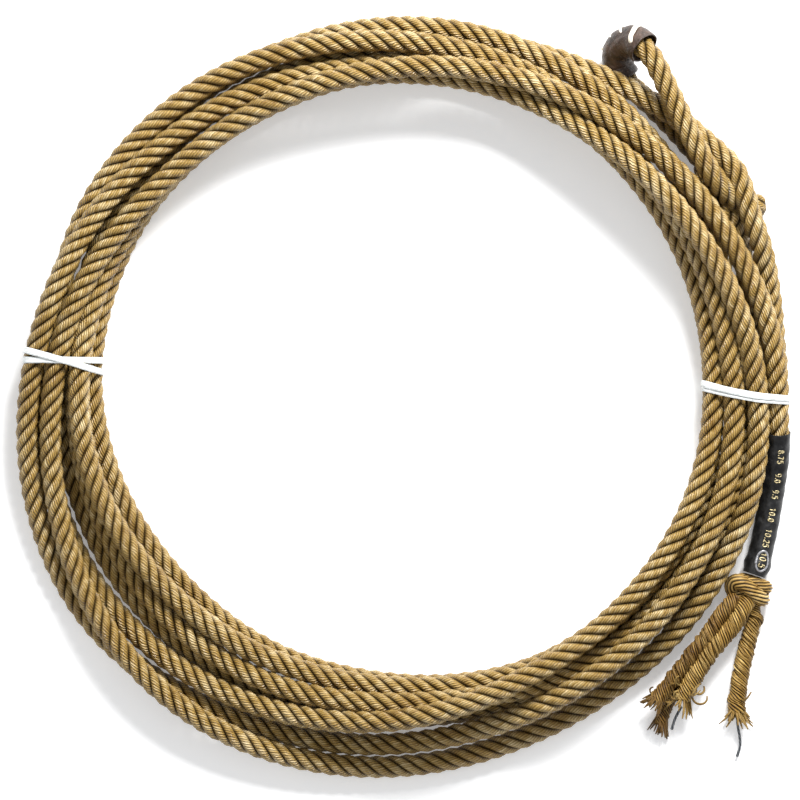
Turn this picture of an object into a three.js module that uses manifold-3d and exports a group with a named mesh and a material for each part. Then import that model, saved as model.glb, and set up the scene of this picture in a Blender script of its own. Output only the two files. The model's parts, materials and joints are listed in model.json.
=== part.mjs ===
// A roping rope (lariat), coiled and bound for storage, lying flat.
// Millimetres, +Z up, origin on the ground at the middle of the whole outline.
// The rope winds round the coil, and its outermost turn runs through the fixed eye at its own end.
// The other end leaves the coil as a short tail that finishes in a knot of its strands.
import * as THREE from 'three';
import { mergeVertices } from 'three/addons/utils/BufferGeometryUtils.js';
import Module from 'manifold-3d';

const wasm = await Module();
wasm.setup();

// ---- driving dimensions --------------------------------------------------------------------
const ROPE_D = 10.5; // laid rope, crest to crest
const GAP = 0.3; // room between pieces that touch
const ROPE_R = ROPE_D / 2;

const COIL = { x: -4.2, y: 0, inner: 137, outer: 172.4, height: 24, corner: 9 };
const COIL_MID = (COIL.inner + COIL.outer) / 2;
const COIL_SEGMENTS = 72;

const BAND = { thickness: 0.8, width: 2.6, layerStep: 1.5 }; // flat white band, wrapped twice at each tie
const BAND_NOTCH = BAND.thickness + BAND.layerStep + GAP; // how far the band lifts the rope off the ground

const OVER_Z = 16.3; // height of a rope that lies on another one
const EYE_TOP_Z = 27.3; // height of the eye's upper leg, clear of the turn that it crosses
const EYE_LOW_Z = 5.3; // and of its lower leg, just off the ground
const BURNER_R = 7.7; // leather burner, outside radius
const LACE_D = 1.5;

const SLEEVE_R = 6.1; // shrink sleeve over the tail
const SLEEVE_Z = SLEEVE_R + 0.2; // height of the sleeve's middle line
const CORE_D = 1.3; // dark thread in the middle of a strand

const COLOURS = {
  rope: 0x99805a,
  burner: 0x4a382b,
  lace: 0xe9e2d0,
  band: 0xe9ecea,
  sleeve: 0x1b1b1c,
  yarn: 0xa9884f,
  core: 0x3f4146,
};

// ---- helpers -------------------------------------------------------------------------------
const group = new THREE.Group();
const degrees = THREE.MathUtils.degToRad;

function add(name, geometry, colour, roughness = 0.8) {
  const material = new THREE.MeshStandardMaterial({ color: colour, roughness, metalness: 0 });
  const mesh = new THREE.Mesh(geometry, material);
  mesh.name = name;
  group.add(mesh);
  return mesh;
}

function curveThrough(points) {
  return new THREE.CatmullRomCurve3(points.map((p) => new THREE.Vector3(...p)));
}

function circle(radius, sides) {
  const corners = [];
  for (let i = 0; i < sides; i += 1) {
    const angle = (i / sides) * 2 * Math.PI;
    corners.push(new THREE.Vector2(radius * Math.cos(angle), radius * Math.sin(angle)));
  }
  return corners;
}

// A round tube along a curve; bore > 0 makes it hollow, with room for a rod of that radius.
function tube(curve, radius, steps, sides = 10, bore = 0) {
  const shape = new THREE.Shape(circle(radius, sides));
  if (bore > 0) {
    shape.holes.push(new THREE.Path(circle(bore / Math.cos(Math.PI / sides), sides).reverse()));
  }
  return new THREE.ExtrudeGeometry(shape, { steps, extrudePath: curve });
}

function stretch(curve, from, to, count) {
  const points = [];
  for (let i = 0; i <= count; i += 1) {
    points.push(curve.getPointAt(from + ((to - from) * i) / count));
  }
  return new THREE.CatmullRomCurve3(points);
}

function toSolid(geometry) {
  const plain = geometry.index ? geometry.toNonIndexed() : geometry.clone();
  plain.deleteAttribute('normal');
  plain.deleteAttribute('uv');
  const merged = mergeVertices(plain, 1e-4);
  const mesh = new wasm.Mesh({
    numProp: 3,
    vertProperties: new Float32Array(merged.attributes.position.array),
    triVerts: new Uint32Array(merged.index.array),
  });
  return new wasm.Manifold(mesh);
}

function toGeometry(solid) {
  const mesh = solid.getMesh();
  const geometry = new THREE.BufferGeometry();
  geometry.setAttribute('position', new THREE.BufferAttribute(mesh.vertProperties, 3));
  geometry.setIndex(new THREE.BufferAttribute(mesh.triVerts, 1));
  return geometry;
}

// Convex outline round a set of circles {x, y, r}, each grown by offset.
function outlineRound(circles, offset) {
  const points = [];
  for (const c of circles) {
    for (const p of circle(c.r + offset, 24)) {
      points.push(new THREE.Vector2(p.x + c.x, p.y + c.y));
    }
  }
  points.sort((a, b) => a.x - b.x || a.y - b.y);
  const half = (list) => {
    const chain = [];
    for (const p of list) {
      while (chain.length > 1) {
        const a = chain[chain.length - 2];
        const b = chain[chain.length - 1];
        const turn = (b.x - a.x) * (p.y - a.y) - (b.y - a.y) * (p.x - a.x);
        if (turn > 1e-3) break;
        chain.pop();
      }
      chain.push(p);
    }
    chain.pop();
    return chain;
  };
  return [...half(points), ...half(points.reverse())];
}

// Where a length of rope bends freely, one side ends in a ball and the other in a hollow for it.
function ball(at, radius) {
  const round = new THREE.SphereGeometry(radius, 20, 12);
  round.translate(...at);
  return toSolid(round);
}

// ---- the coil ------------------------------------------------------------------------------
// The bound turns as one ring with a rounded section, the outer shape of the coil.
function coilRing() {
  const profile = [];
  const arcs = [
    [COIL.outer - COIL.corner, COIL.corner, -90],
    [COIL.outer - COIL.corner, COIL.height - COIL.corner, 0],
    [COIL.inner + COIL.corner, COIL.height - COIL.corner, 90],
    [COIL.inner + COIL.corner, COIL.corner, 180],
  ];
  const stepsPerArc = 3;
  for (const [r, z, start] of arcs) {
    for (let i = 0; i <= stepsPerArc; i += 1) {
      const angle = degrees(start + (90 * i) / stepsPerArc);
      const corner = new THREE.Vector2(Math.cos(angle), Math.sin(angle)).multiplyScalar(COIL.corner);
      profile.push(corner.add(new THREE.Vector2(r, z)));
    }
  }
  profile.push(profile[0].clone());
  const ring = new THREE.LatheGeometry(profile, COIL_SEGMENTS);
  ring.rotateX(Math.PI / 2);
  ring.translate(COIL.x, COIL.y, 0);
  return ring;
}

// The circles that a tie goes round, in the tie's own upright plane: x outward from the middle
// of the coil's section, y up. slant turns the plane away from the coil's radius.
function tieCircles(slant, extra) {
  const half = (COIL.outer - COIL.inner) / 2 / Math.cos(slant) - COIL.corner + GAP;
  const low = COIL.corner + BAND_NOTCH;
  const high = COIL.height - COIL.corner;
  const corners = [-half, half].flatMap((x) => [low, high].map((y) => ({ x, y, r: COIL.corner })));
  return [...corners, ...extra.map((c) => ({ ...c, x: c.x / Math.cos(slant) }))];
}

function standUpright(geometry, width, tie) {
  geometry.translate(0, 0, -width / 2);
  geometry.rotateX(Math.PI / 2);
  geometry.rotateZ(tie.azimuth + tie.slant);
  const x = COIL.x + COIL_MID * Math.cos(tie.azimuth);
  const y = COIL.y + COIL_MID * Math.sin(tie.azimuth);
  geometry.translate(x, y, 0);
  return geometry;
}

function bandWrap(tie, layer) {
  const circles = tieCircles(tie.slant, tie.extra);
  const inside = GAP + layer * BAND.layerStep;
  const shape = new THREE.Shape(outlineRound(circles, inside + BAND.thickness));
  shape.holes.push(new THREE.Path(outlineRound(circles, inside).reverse()));
  const loop = new THREE.ExtrudeGeometry(shape, { depth: BAND.width, bevelEnabled: false });
  return standUpright(loop, BAND.width, tie);
}

// What a wrap presses out of the coil's underside, as a cutter.
function bandNotch(tie) {
  const width = BAND.width + 2 * GAP;
  const half = COIL.outer - COIL.inner;
  const below = -2 * GAP;
  const block = new THREE.Shape([
    new THREE.Vector2(-half, below),
    new THREE.Vector2(half, below),
    new THREE.Vector2(half, COIL.height / 2),
    new THREE.Vector2(-half, COIL.height / 2),
  ]);
  const keep = new THREE.Shape(outlineRound(tieCircles(tie.slant, tie.extra), 0));
  const cut = toSolid(new THREE.ExtrudeGeometry(block, { depth: width, bevelEnabled: false }));
  const kept = new THREE.ExtrudeGeometry(keep, { depth: width + 2, bevelEnabled: false });
  kept.translate(0, 0, -1);
  return toSolid(standUpright(toGeometry(cut.subtract(toSolid(kept))), width, tie));
}

const TURN_AT_TIE = { x: 178.3 - COIL_MID, y: ROPE_R + BAND_NOTCH, r: ROPE_R };
const TAIL_AT_TIE = { x: 178.1 - COIL_MID, y: TURN_AT_TIE.y + ROPE_D + 2 * GAP, r: ROPE_R };
const RIGHT_EXTRA = [TURN_AT_TIE, TAIL_AT_TIE]; // ropes beside the ring, one on the other
const TIES = {
  tie_left_lower_wrap: { azimuth: degrees(173.1), slant: degrees(6.6), layer: 0, extra: [] },
  tie_left_upper_wrap: { azimuth: degrees(173.7), slant: degrees(-15.1), layer: 1, extra: [] },
  tie_right_lower_wrap: { azimuth: degrees(0.6), slant: degrees(-8), layer: 0, extra: RIGHT_EXTRA },
  tie_right_upper_wrap: { azimuth: degrees(1.4), slant: degrees(-12.9), layer: 1, extra: RIGHT_EXTRA },
};

let ringSolid = toSolid(coilRing());
for (const tie of Object.values(TIES)) {
  ringSolid = ringSolid.subtract(bandNotch(tie));
}
add('rope_coil', toGeometry(ringSolid), COLOURS.rope);
for (const [name, tie] of Object.entries(TIES)) {
  add(name, bandWrap(tie, tie.layer), COLOURS.band, 0.5);
}

// ---- the outermost turn, which runs through the eye ---------------------------------------
const THREADED_ROUTE = [
  [174.0, -4.0, TURN_AT_TIE.y],
  [174.0, 4.0, TURN_AT_TIE.y],
  [173.8, 15.0, 7.2],
  [173.2, 26.5, 5.9],
  [172.3, 38.8, 5.6],
  [170.8, 51.0, 6.6],
  [168.6, 63.4, 9.4],
  [165.6, 74.5, 13.4],
  [161.6, 85.6, 16.0],
  [158.0, 98.0, OVER_Z],
  [152.9, 108.8, OVER_Z],
  [141.2, 120.0, OVER_Z],
  [128.7, 130.2, OVER_Z],
  [115.4, 139.0, OVER_Z],
  [101.9, 147.0, OVER_Z],
  [94.2, 151.9, OVER_Z],
];
add('threaded_turn', tube(curveThrough(THREADED_ROUTE), ROPE_R, 44), COLOURS.rope);

// ---- the eye: knot, rope end, eye rope, leather burner and its lacing --------------------------
const EYE_ROUTE = [
  [146.6, 99.8, EYE_TOP_Z],
  [141.3, 107.3, EYE_TOP_Z],
  [136.2, 116.3, EYE_TOP_Z],
  [129.8, 129.0, EYE_TOP_Z],
  [122.8, 143.5, EYE_TOP_Z],
  [116.4, 156.5, EYE_TOP_Z],
  [111.6, 163.4, 25.8],
  [106.0, 167.2, 20.8],
  [100.8, 165.2, 13.8],
  [99.6, 159.0, 8.2],
  [102.6, 151.4, 5.6],
  [108.5, 144.6, EYE_LOW_Z],
  [117.0, 136.4, EYE_LOW_Z],
  [126.1, 127.2, EYE_LOW_Z],
  [134.8, 117.3, EYE_LOW_Z],
  [140.0, 110.9, EYE_LOW_Z],
];
const eyeCurve = curveThrough(EYE_ROUTE);
const BURNER_FROM = 0.36; // shares of the eye's length
const BURNER_TO = 0.6;

// The rope's own end, tucked through the knot and pointing away from the coil.
const END_ROUTE = [
  [156.6, 89.9, ROPE_R],
  [162.0, 90.9, ROPE_R],
  [168.6, 91.6, ROPE_R],
];
const TUCKED_END_ROUTE = [[155.8, 89.8, ROPE_R], ...END_ROUTE]; // with the part inside the knot

// The knot is one lump beside the coil: half sizes across, along and up, and its middle from the
// middle of the coil. Ropes that run into it leave hollows.
const EYE_KNOT = { across: 8.6, along: 13.5, height: 15.2, reach: 181.4, azimuth: 29.6, lift: 0.1 };
function eyeKnot() {
  const lump = new THREE.SphereGeometry(1, 20, 14);
  lump.scale(EYE_KNOT.across, EYE_KNOT.along, EYE_KNOT.height);
  lump.rotateZ(degrees(EYE_KNOT.azimuth));
  const x = COIL.x + EYE_KNOT.reach * Math.cos(degrees(EYE_KNOT.azimuth));
  const y = COIL.y + EYE_KNOT.reach * Math.sin(degrees(EYE_KNOT.azimuth));
  lump.translate(x, y, EYE_KNOT.height + EYE_KNOT.lift);
  const reach = COIL.outer + GAP;
  const corners = [[0, -COIL.height], [reach, -COIL.height], [reach, 2 * COIL.height], [0, 2 * COIL.height]];
  const grownCoil = new THREE.LatheGeometry(corners.map((c) => new THREE.Vector2(...c)), COIL_SEGMENTS);
  grownCoil.rotateX(Math.PI / 2);
  grownCoil.translate(COIL.x, COIL.y, 0);
  const besides = [
    grownCoil,
    tube(curveThrough(THREADED_ROUTE), ROPE_R + GAP, 44),
    tube(eyeCurve, ROPE_R + GAP, 60),
    tube(curveThrough(TUCKED_END_ROUTE), ROPE_R + GAP, 6),
  ];
  let solid = toSolid(lump).subtract(ball(EYE_ROUTE[0], ROPE_R + 4 * GAP));
  for (const other of besides) {
    solid = solid.subtract(toSolid(other));
  }
  const parts = solid.decompose();
  return toGeometry(parts.reduce((a, b) => (a.volume() > b.volume() ? a : b)));
}
add('eye_rope_end', tube(curveThrough(END_ROUTE), ROPE_R, 6), COLOURS.rope);
add('eye_knot', eyeKnot(), COLOURS.rope);
add('rope_eye', tube(eyeCurve, ROPE_R, 60), COLOURS.rope);

const burnerCurve = stretch(eyeCurve, BURNER_FROM, BURNER_TO, 16);
add('eye_burner', tube(burnerCurve, BURNER_R, 18, 12, ROPE_R + GAP), COLOURS.burner, 0.55);

// One stitch of the lacing that closes the burner: a short arc over its outside.
const EYE_ROUND_MIDDLE = new THREE.Vector3(111, 154, 16);
const LACES = { count: 5, first: 0.14, last: 0.86, halfArc: 55, lean: 2.4, steps: 8 };
function laceStitch(share) {
  const middle = burnerCurve.getPointAt(share);
  const along = burnerCurve.getTangentAt(share);
  const out = middle.clone().sub(EYE_ROUND_MIDDLE);
  out.addScaledVector(along, -out.dot(along)).normalize();
  const side = new THREE.Vector3().crossVectors(along, out);
  const reach = BURNER_R + GAP + LACE_D / 2;
  const points = [];
  for (let i = 0; i <= LACES.steps; i += 1) {
    const turned = (2 * i) / LACES.steps - 1; // -1 at one end, 1 at the other
    const angle = degrees(LACES.halfArc * turned);
    const p = middle.clone().addScaledVector(out, reach * Math.cos(angle));
    p.addScaledVector(side, reach * Math.sin(angle));
    p.addScaledVector(along, (LACES.lean * turned) / 2);
    points.push(p);
  }
  return tube(new THREE.CatmullRomCurve3(points), LACE_D / 2, 10, 8);
}
for (let i = 0; i < LACES.count; i += 1) {
  const share = LACES.first + ((LACES.last - LACES.first) * i) / (LACES.count - 1);
  add(`burner_lace_${i + 1}`, laceStitch(share), COLOURS.lace, 0.7);
}

// ---- the tail: bound end, free tail rope, size sleeve and strand knot ------------------------
const TAIL_HINGE = [173.9, -8.6, TAIL_AT_TIE.y];
const BOUND_TAIL_ROUTE = [
  [170.8, 34.0, 20.6],
  [172.2, 24.0, 19.3],
  [173.5, 12.0, TAIL_AT_TIE.y],
  [173.9, 2.0, TAIL_AT_TIE.y],
  TAIL_HINGE,
];
function boundTail() {
  const rope = toSolid(tube(curveThrough(BOUND_TAIL_ROUTE), ROPE_R, 8));
  return toGeometry(rope.subtract(ball(TAIL_HINGE, ROPE_R + GAP)));
}
add('bound_tail', boundTail(), COLOURS.rope);

const TAIL_ROUTE = [
  TAIL_HINGE,
  [174.0, -17.6, 16.6],
  [173.5, -29.0, 12.6],
  [171.5, -44.3, 8.0],
  [168.9, -59.6, SLEEVE_Z],
  [165.5, -75.1, SLEEVE_Z],
  [163.9, -80.4, SLEEVE_Z],
];
const tailCurve = curveThrough(TAIL_ROUTE);
const tailRope = toSolid(tube(tailCurve, ROPE_R, 18)).add(ball(TAIL_HINGE, ROPE_R - 0.05));
add('tail_rope', toGeometry(tailRope), COLOURS.rope);
const sleeveCurve = stretch(tailCurve, 0.1, 0.985, 14);
add('size_sleeve', tube(sleeveCurve, SLEEVE_R, 16, 12, ROPE_R + GAP), COLOURS.sleeve, 0.45);

const TAIL_KNOT = { x: 161.1, y: -88.8, across: 12.4, along: 6.6, height: 6.9, turn: 14 };
function tailKnot() {
  const lump = new THREE.SphereGeometry(1, 18, 12);
  lump.scale(TAIL_KNOT.across, TAIL_KNOT.along, TAIL_KNOT.height);
  lump.rotateZ(degrees(TAIL_KNOT.turn));
  lump.translate(TAIL_KNOT.x, TAIL_KNOT.y, TAIL_KNOT.height);
  return lump;
}
add('tail_knot', tailKnot(), COLOURS.yarn);

// ---- the four loosened strands and the dark core threads that show in two of them ------------
const STRANDS = {
  strand_under: {
    radius: 3.1,
    route: [
      [150.6, -98.2, 3.2],
      [146.0, -107.6, 3.2],
      [140.4, -116.4, 3.2],
      [133.8, -125.2, 3.2],
      [127.0, -135.2, 3.2],
      [122.2, -143.8, 3.2],
      [119.1, -154.0, 3.2],
    ],
  },
  strand_dark: {
    radius: 2.9,
    route: [
      [151.2, -97.4, 9.8],
      [146.2, -103.6, 9.8],
      [139.5, -112.9, 9.8],
      [132.8, -120.7, 9.8],
      [127.3, -127.9, 9.8],
      [122.6, -134.2, 9.8],
      [115.6, -142.8, 9.8],
    ],
  },
  strand_light: {
    radius: 3.6,
    route: [
      [158.6, -100.4, 10.4],
      [154.7, -107.0, 10.4],
      [148.9, -113.9, 10.4],
      [142.6, -121.1, 10.4],
      [138.1, -128.3, 10.4],
      [134.2, -134.6, 10.4],
      [128.8, -144.6, 10.4],
    ],
  },
  strand_right: {
    radius: 3.5,
    route: [
      [163.6, -99.2, 4.0],
      [164.0, -103.6, 3.6],
      [161.8, -109.2, 3.6],
      [159.8, -116.0, 3.6],
      [158.2, -124.4, 3.6],
      [156.4, -134.2, 3.6],
      [155.4, -143.0, 3.6],
      [155.2, -150.6, 3.6],
    ],
  },
};
for (const [name, strand] of Object.entries(STRANDS)) {
  add(name, tube(curveThrough(strand.route), strand.radius, 18), COLOURS.yarn, 0.85);
}

const CORE_THREADS = {
  core_thread_light: [
    [128.4, -145.4, 10.0],
    [126.2, -148.6, 9.0],
    [124.8, -154.2, 7.6],
  ],
  core_thread_right: [
    [155.4, -151.2, 3.4],
    [156.8, -158.0, 2.6],
    [157.1, -162.4, 2.0],
    [155.7, -167.3, 1.4],
  ],
};
for (const [name, route] of Object.entries(CORE_THREADS)) {
  add(name, tube(curveThrough(route), CORE_D / 2, 10, 8), COLOURS.core, 0.5);
}

export default group;
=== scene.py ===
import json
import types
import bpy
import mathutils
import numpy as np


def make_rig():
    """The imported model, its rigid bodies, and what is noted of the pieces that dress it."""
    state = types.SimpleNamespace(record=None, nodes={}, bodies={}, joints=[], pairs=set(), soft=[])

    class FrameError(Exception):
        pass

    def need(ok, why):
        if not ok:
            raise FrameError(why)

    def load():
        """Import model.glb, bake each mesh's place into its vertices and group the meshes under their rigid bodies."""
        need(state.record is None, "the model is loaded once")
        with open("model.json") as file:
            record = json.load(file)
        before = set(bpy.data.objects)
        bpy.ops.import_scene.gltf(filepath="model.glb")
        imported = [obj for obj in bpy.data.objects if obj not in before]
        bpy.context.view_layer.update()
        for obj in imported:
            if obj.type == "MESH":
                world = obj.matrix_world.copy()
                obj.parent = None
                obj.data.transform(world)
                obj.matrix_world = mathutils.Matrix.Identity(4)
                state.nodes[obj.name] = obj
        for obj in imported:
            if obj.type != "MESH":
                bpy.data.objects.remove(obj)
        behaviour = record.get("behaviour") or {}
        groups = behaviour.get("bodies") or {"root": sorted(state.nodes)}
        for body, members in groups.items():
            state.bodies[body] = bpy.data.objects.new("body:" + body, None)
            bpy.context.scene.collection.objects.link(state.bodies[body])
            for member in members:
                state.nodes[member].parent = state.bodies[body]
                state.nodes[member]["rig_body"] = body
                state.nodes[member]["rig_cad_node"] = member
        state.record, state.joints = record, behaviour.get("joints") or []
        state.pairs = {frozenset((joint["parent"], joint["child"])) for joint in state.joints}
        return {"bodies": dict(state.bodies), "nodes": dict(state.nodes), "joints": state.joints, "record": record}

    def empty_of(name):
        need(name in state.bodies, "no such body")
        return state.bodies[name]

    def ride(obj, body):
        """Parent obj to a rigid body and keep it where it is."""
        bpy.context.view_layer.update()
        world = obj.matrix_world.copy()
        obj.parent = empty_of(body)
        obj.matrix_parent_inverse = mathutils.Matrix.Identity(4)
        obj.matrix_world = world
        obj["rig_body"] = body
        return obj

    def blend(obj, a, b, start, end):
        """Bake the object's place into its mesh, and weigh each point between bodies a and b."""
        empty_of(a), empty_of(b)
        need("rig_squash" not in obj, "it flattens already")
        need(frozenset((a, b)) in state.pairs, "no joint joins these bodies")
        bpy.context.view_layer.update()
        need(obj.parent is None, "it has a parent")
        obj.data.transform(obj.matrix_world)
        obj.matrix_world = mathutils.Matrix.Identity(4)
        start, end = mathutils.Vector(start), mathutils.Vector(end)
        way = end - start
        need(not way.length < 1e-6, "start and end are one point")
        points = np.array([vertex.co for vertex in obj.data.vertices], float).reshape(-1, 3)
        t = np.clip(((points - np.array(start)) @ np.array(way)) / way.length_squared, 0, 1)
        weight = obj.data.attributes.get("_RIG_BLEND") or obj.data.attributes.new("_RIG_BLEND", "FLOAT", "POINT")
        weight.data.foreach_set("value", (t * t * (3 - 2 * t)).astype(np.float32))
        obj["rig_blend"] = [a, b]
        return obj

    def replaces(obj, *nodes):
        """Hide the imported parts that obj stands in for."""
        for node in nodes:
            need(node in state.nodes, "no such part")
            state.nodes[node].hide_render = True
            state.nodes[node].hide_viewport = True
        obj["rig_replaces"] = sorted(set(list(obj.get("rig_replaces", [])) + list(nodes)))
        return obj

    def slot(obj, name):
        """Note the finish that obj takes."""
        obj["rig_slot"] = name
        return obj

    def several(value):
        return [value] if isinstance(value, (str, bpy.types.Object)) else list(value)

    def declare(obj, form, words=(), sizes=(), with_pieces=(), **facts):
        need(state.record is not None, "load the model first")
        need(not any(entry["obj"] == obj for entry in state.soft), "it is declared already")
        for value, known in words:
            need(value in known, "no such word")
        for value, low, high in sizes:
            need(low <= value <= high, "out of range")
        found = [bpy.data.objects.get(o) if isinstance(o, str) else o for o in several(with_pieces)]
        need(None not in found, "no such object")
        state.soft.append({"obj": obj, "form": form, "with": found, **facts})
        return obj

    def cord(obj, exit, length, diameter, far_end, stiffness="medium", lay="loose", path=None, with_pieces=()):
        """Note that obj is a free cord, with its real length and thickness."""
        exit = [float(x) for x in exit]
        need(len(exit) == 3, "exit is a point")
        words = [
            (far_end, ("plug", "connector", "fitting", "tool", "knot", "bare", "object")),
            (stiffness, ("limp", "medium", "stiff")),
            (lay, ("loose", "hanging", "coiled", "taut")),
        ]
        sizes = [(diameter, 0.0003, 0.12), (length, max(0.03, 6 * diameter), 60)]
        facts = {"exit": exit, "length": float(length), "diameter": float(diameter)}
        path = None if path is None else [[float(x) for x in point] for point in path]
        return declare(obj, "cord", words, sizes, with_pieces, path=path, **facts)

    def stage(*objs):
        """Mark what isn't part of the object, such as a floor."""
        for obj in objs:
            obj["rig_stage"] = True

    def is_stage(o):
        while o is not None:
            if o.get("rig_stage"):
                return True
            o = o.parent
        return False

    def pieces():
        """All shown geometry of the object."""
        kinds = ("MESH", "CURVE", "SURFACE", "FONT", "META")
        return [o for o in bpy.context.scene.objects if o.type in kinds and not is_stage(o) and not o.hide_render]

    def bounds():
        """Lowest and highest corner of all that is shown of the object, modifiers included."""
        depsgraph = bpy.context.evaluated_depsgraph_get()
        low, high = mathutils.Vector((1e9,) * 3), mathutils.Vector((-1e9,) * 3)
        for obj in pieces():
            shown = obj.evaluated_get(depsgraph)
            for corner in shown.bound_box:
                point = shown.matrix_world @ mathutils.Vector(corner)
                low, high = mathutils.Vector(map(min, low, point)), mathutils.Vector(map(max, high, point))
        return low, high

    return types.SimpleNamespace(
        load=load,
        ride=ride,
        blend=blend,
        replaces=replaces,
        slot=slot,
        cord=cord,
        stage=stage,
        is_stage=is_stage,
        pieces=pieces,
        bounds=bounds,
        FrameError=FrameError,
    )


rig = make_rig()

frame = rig.load()
cad_box = [list(corner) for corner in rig.bounds()]

# A roping rope, coiled and bound for storage. Everything is in metres, in the frame of the CAD
# model: the rope's turns are worked out from the lanes they lie in, settled on each other, and
# swept with a four-strand section; its eye, burner, ties, sleeve and strand ends follow.
import json
import math
import random

import bpy
import numpy as np
from mathutils import Vector

MM = 0.001
ROW_STEP = 0.5 * MM  # between rows along the burner, the sleeve and the strands
ROPE_D = 10.5 * MM
ROPE_R = ROPE_D / 2
ROPE_LAY = 28.4 * MM  # length in which a strand goes once round the rope
BAND_LIFT = 2.6 * MM  # how far the bands under the coil lift the rope off the ground


# ---- camera, floor and light ---------------------------------------------------------------
VIEW_MIDDLE = (-0.0024, 0.0)  # the point that the camera looks straight down on
VIEW_WIDTH = 0.3736  # what the picture's width shows, at VIEW_LEVEL
VIEW_LEVEL = 14 * MM  # about half the coil's height
LENS, SENSOR = 260.0, 36.0


def make_camera():
    data = bpy.data.cameras.new("camera")
    data.lens, data.sensor_width = LENS, SENSOR
    data.clip_end = 10
    camera = bpy.data.objects.new("camera", data)
    camera.location = (*VIEW_MIDDLE, VIEW_WIDTH * LENS / SENSOR + VIEW_LEVEL)
    bpy.context.scene.collection.objects.link(camera)
    bpy.context.scene.camera = camera


def area_light(name, size, energy, place, target=(0, 0, 0)):
    data = bpy.data.lights.new(name, "AREA")
    data.shape, data.size, data.energy = "SQUARE", size, energy
    light = bpy.data.objects.new(name, data)
    light.location = place
    aim = Vector(target) - Vector(place)
    light.rotation_mode = "QUATERNION"
    light.rotation_quaternion = aim.to_track_quat("-Z", "Y")
    bpy.context.scene.collection.objects.link(light)


def make_studio():
    make_camera()
    area_light("key", 0.45, 46, (0.38, 1.06, 1.0))
    area_light("fill", 1.6, 5, (-1.0, -0.5, 1.5))
    world = bpy.data.worlds.new("studio")
    world.use_nodes = True
    background = world.node_tree.nodes["Background"]
    background.inputs["Color"].default_value = (0.95, 0.97, 1.0, 1)
    background.inputs["Strength"].default_value = 0.5
    bpy.context.scene.world = world
    bpy.context.scene.view_settings.view_transform = "Standard"
    bpy.ops.mesh.primitive_plane_add(size=8, location=(0, 0, -0.0003))
    floor = bpy.context.active_object
    floor.name = "floor"
    material = bpy.data.materials.new("floor_paper")
    material.use_nodes = True
    shader = material.node_tree.nodes["Principled BSDF"]
    shader.inputs["Base Color"].default_value = (0.9, 0.9, 0.9, 1)
    shader.inputs["Roughness"].default_value = 0.9
    shader.inputs["Emission Color"].default_value = (1, 1, 1, 1)
    shader.inputs["Emission Strength"].default_value = 0.26
    floor.data.materials.append(material)
    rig.stage(floor)


make_studio()


# ---- curves and meshes ---------------------------------------------------------------------
def spline(points, step):
    """A smooth line through points, as rows step apart."""
    p = np.array(points, float)
    p = np.vstack([2 * p[0] - p[1], p, 2 * p[-1] - p[-2]])
    rows = []
    for a, b, c, d in zip(p[:-3], p[1:-2], p[2:-1], p[3:]):
        count = max(2, int(np.linalg.norm(c - b) / step * 2))
        for t in np.arange(count) / count:
            rows.append(
                0.5 * (2 * b + (c - a) * t + (2 * a - 5 * b + 4 * c - d) * t**2
                       + (3 * b - a - 3 * c + d) * t**3)
            )
    rows.append(p[-2])
    return evenly(np.array(rows), step)


def evenly(rows, step):
    """The same line with its rows step apart, to the nearest whole number of steps."""
    gaps = np.linalg.norm(np.diff(rows, axis=0), axis=1)
    along = np.concatenate([[0], np.cumsum(gaps)])
    count = max(2, round(along[-1] / step))
    wanted = np.linspace(0, along[-1], count + 1)
    return np.stack([np.interp(wanted, along, rows[:, k]) for k in range(3)], axis=1)


class Line:
    """A line in space with two directions across it at each row, which don't twist along it."""

    def __init__(self, rows):
        self.rows = np.array(rows, float)
        ahead = np.gradient(self.rows, axis=0)
        self.ahead = ahead / np.linalg.norm(ahead, axis=1)[:, None]
        gaps = np.linalg.norm(np.diff(self.rows, axis=0), axis=1)
        self.along = np.concatenate([[0], np.cumsum(gaps)])
        first = np.cross(self.ahead[0], (0.1, 0.2, 1.0))
        side = first / np.linalg.norm(first)
        sides = [side]
        for t in self.ahead[1:]:
            side = side - t * side.dot(t)
            side = side / np.linalg.norm(side)
            sides.append(side)
        self.side = np.array(sides)
        self.up = np.cross(self.ahead, self.side)

    def part(self, first, last):
        cut = Line.__new__(Line)
        for name in ("rows", "ahead", "along", "side", "up"):
            setattr(cut, name, getattr(self, name)[first:last])
        return cut

    def length(self):
        return self.along[-1] - self.along[0]


def new_piece(name, vertices, faces):
    mesh = bpy.data.meshes.new(name)
    mesh.from_pydata(vertices.tolist(), [], faces)
    mesh.shade_smooth()
    piece = bpy.data.objects.new(name, mesh)
    bpy.context.scene.collection.objects.link(piece)
    return piece


def end_fans(n, rings):
    """Triangles that fill both ends of a tube of n-sided rings, whose end points come after them."""
    first, last = rings * n, (rings - 1) * n
    fans = [[first, (k + 1) % n, k] for k in range(n)]
    return fans + [[first + 1, last + k, last + (k + 1) % n] for k in range(n)]


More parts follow.
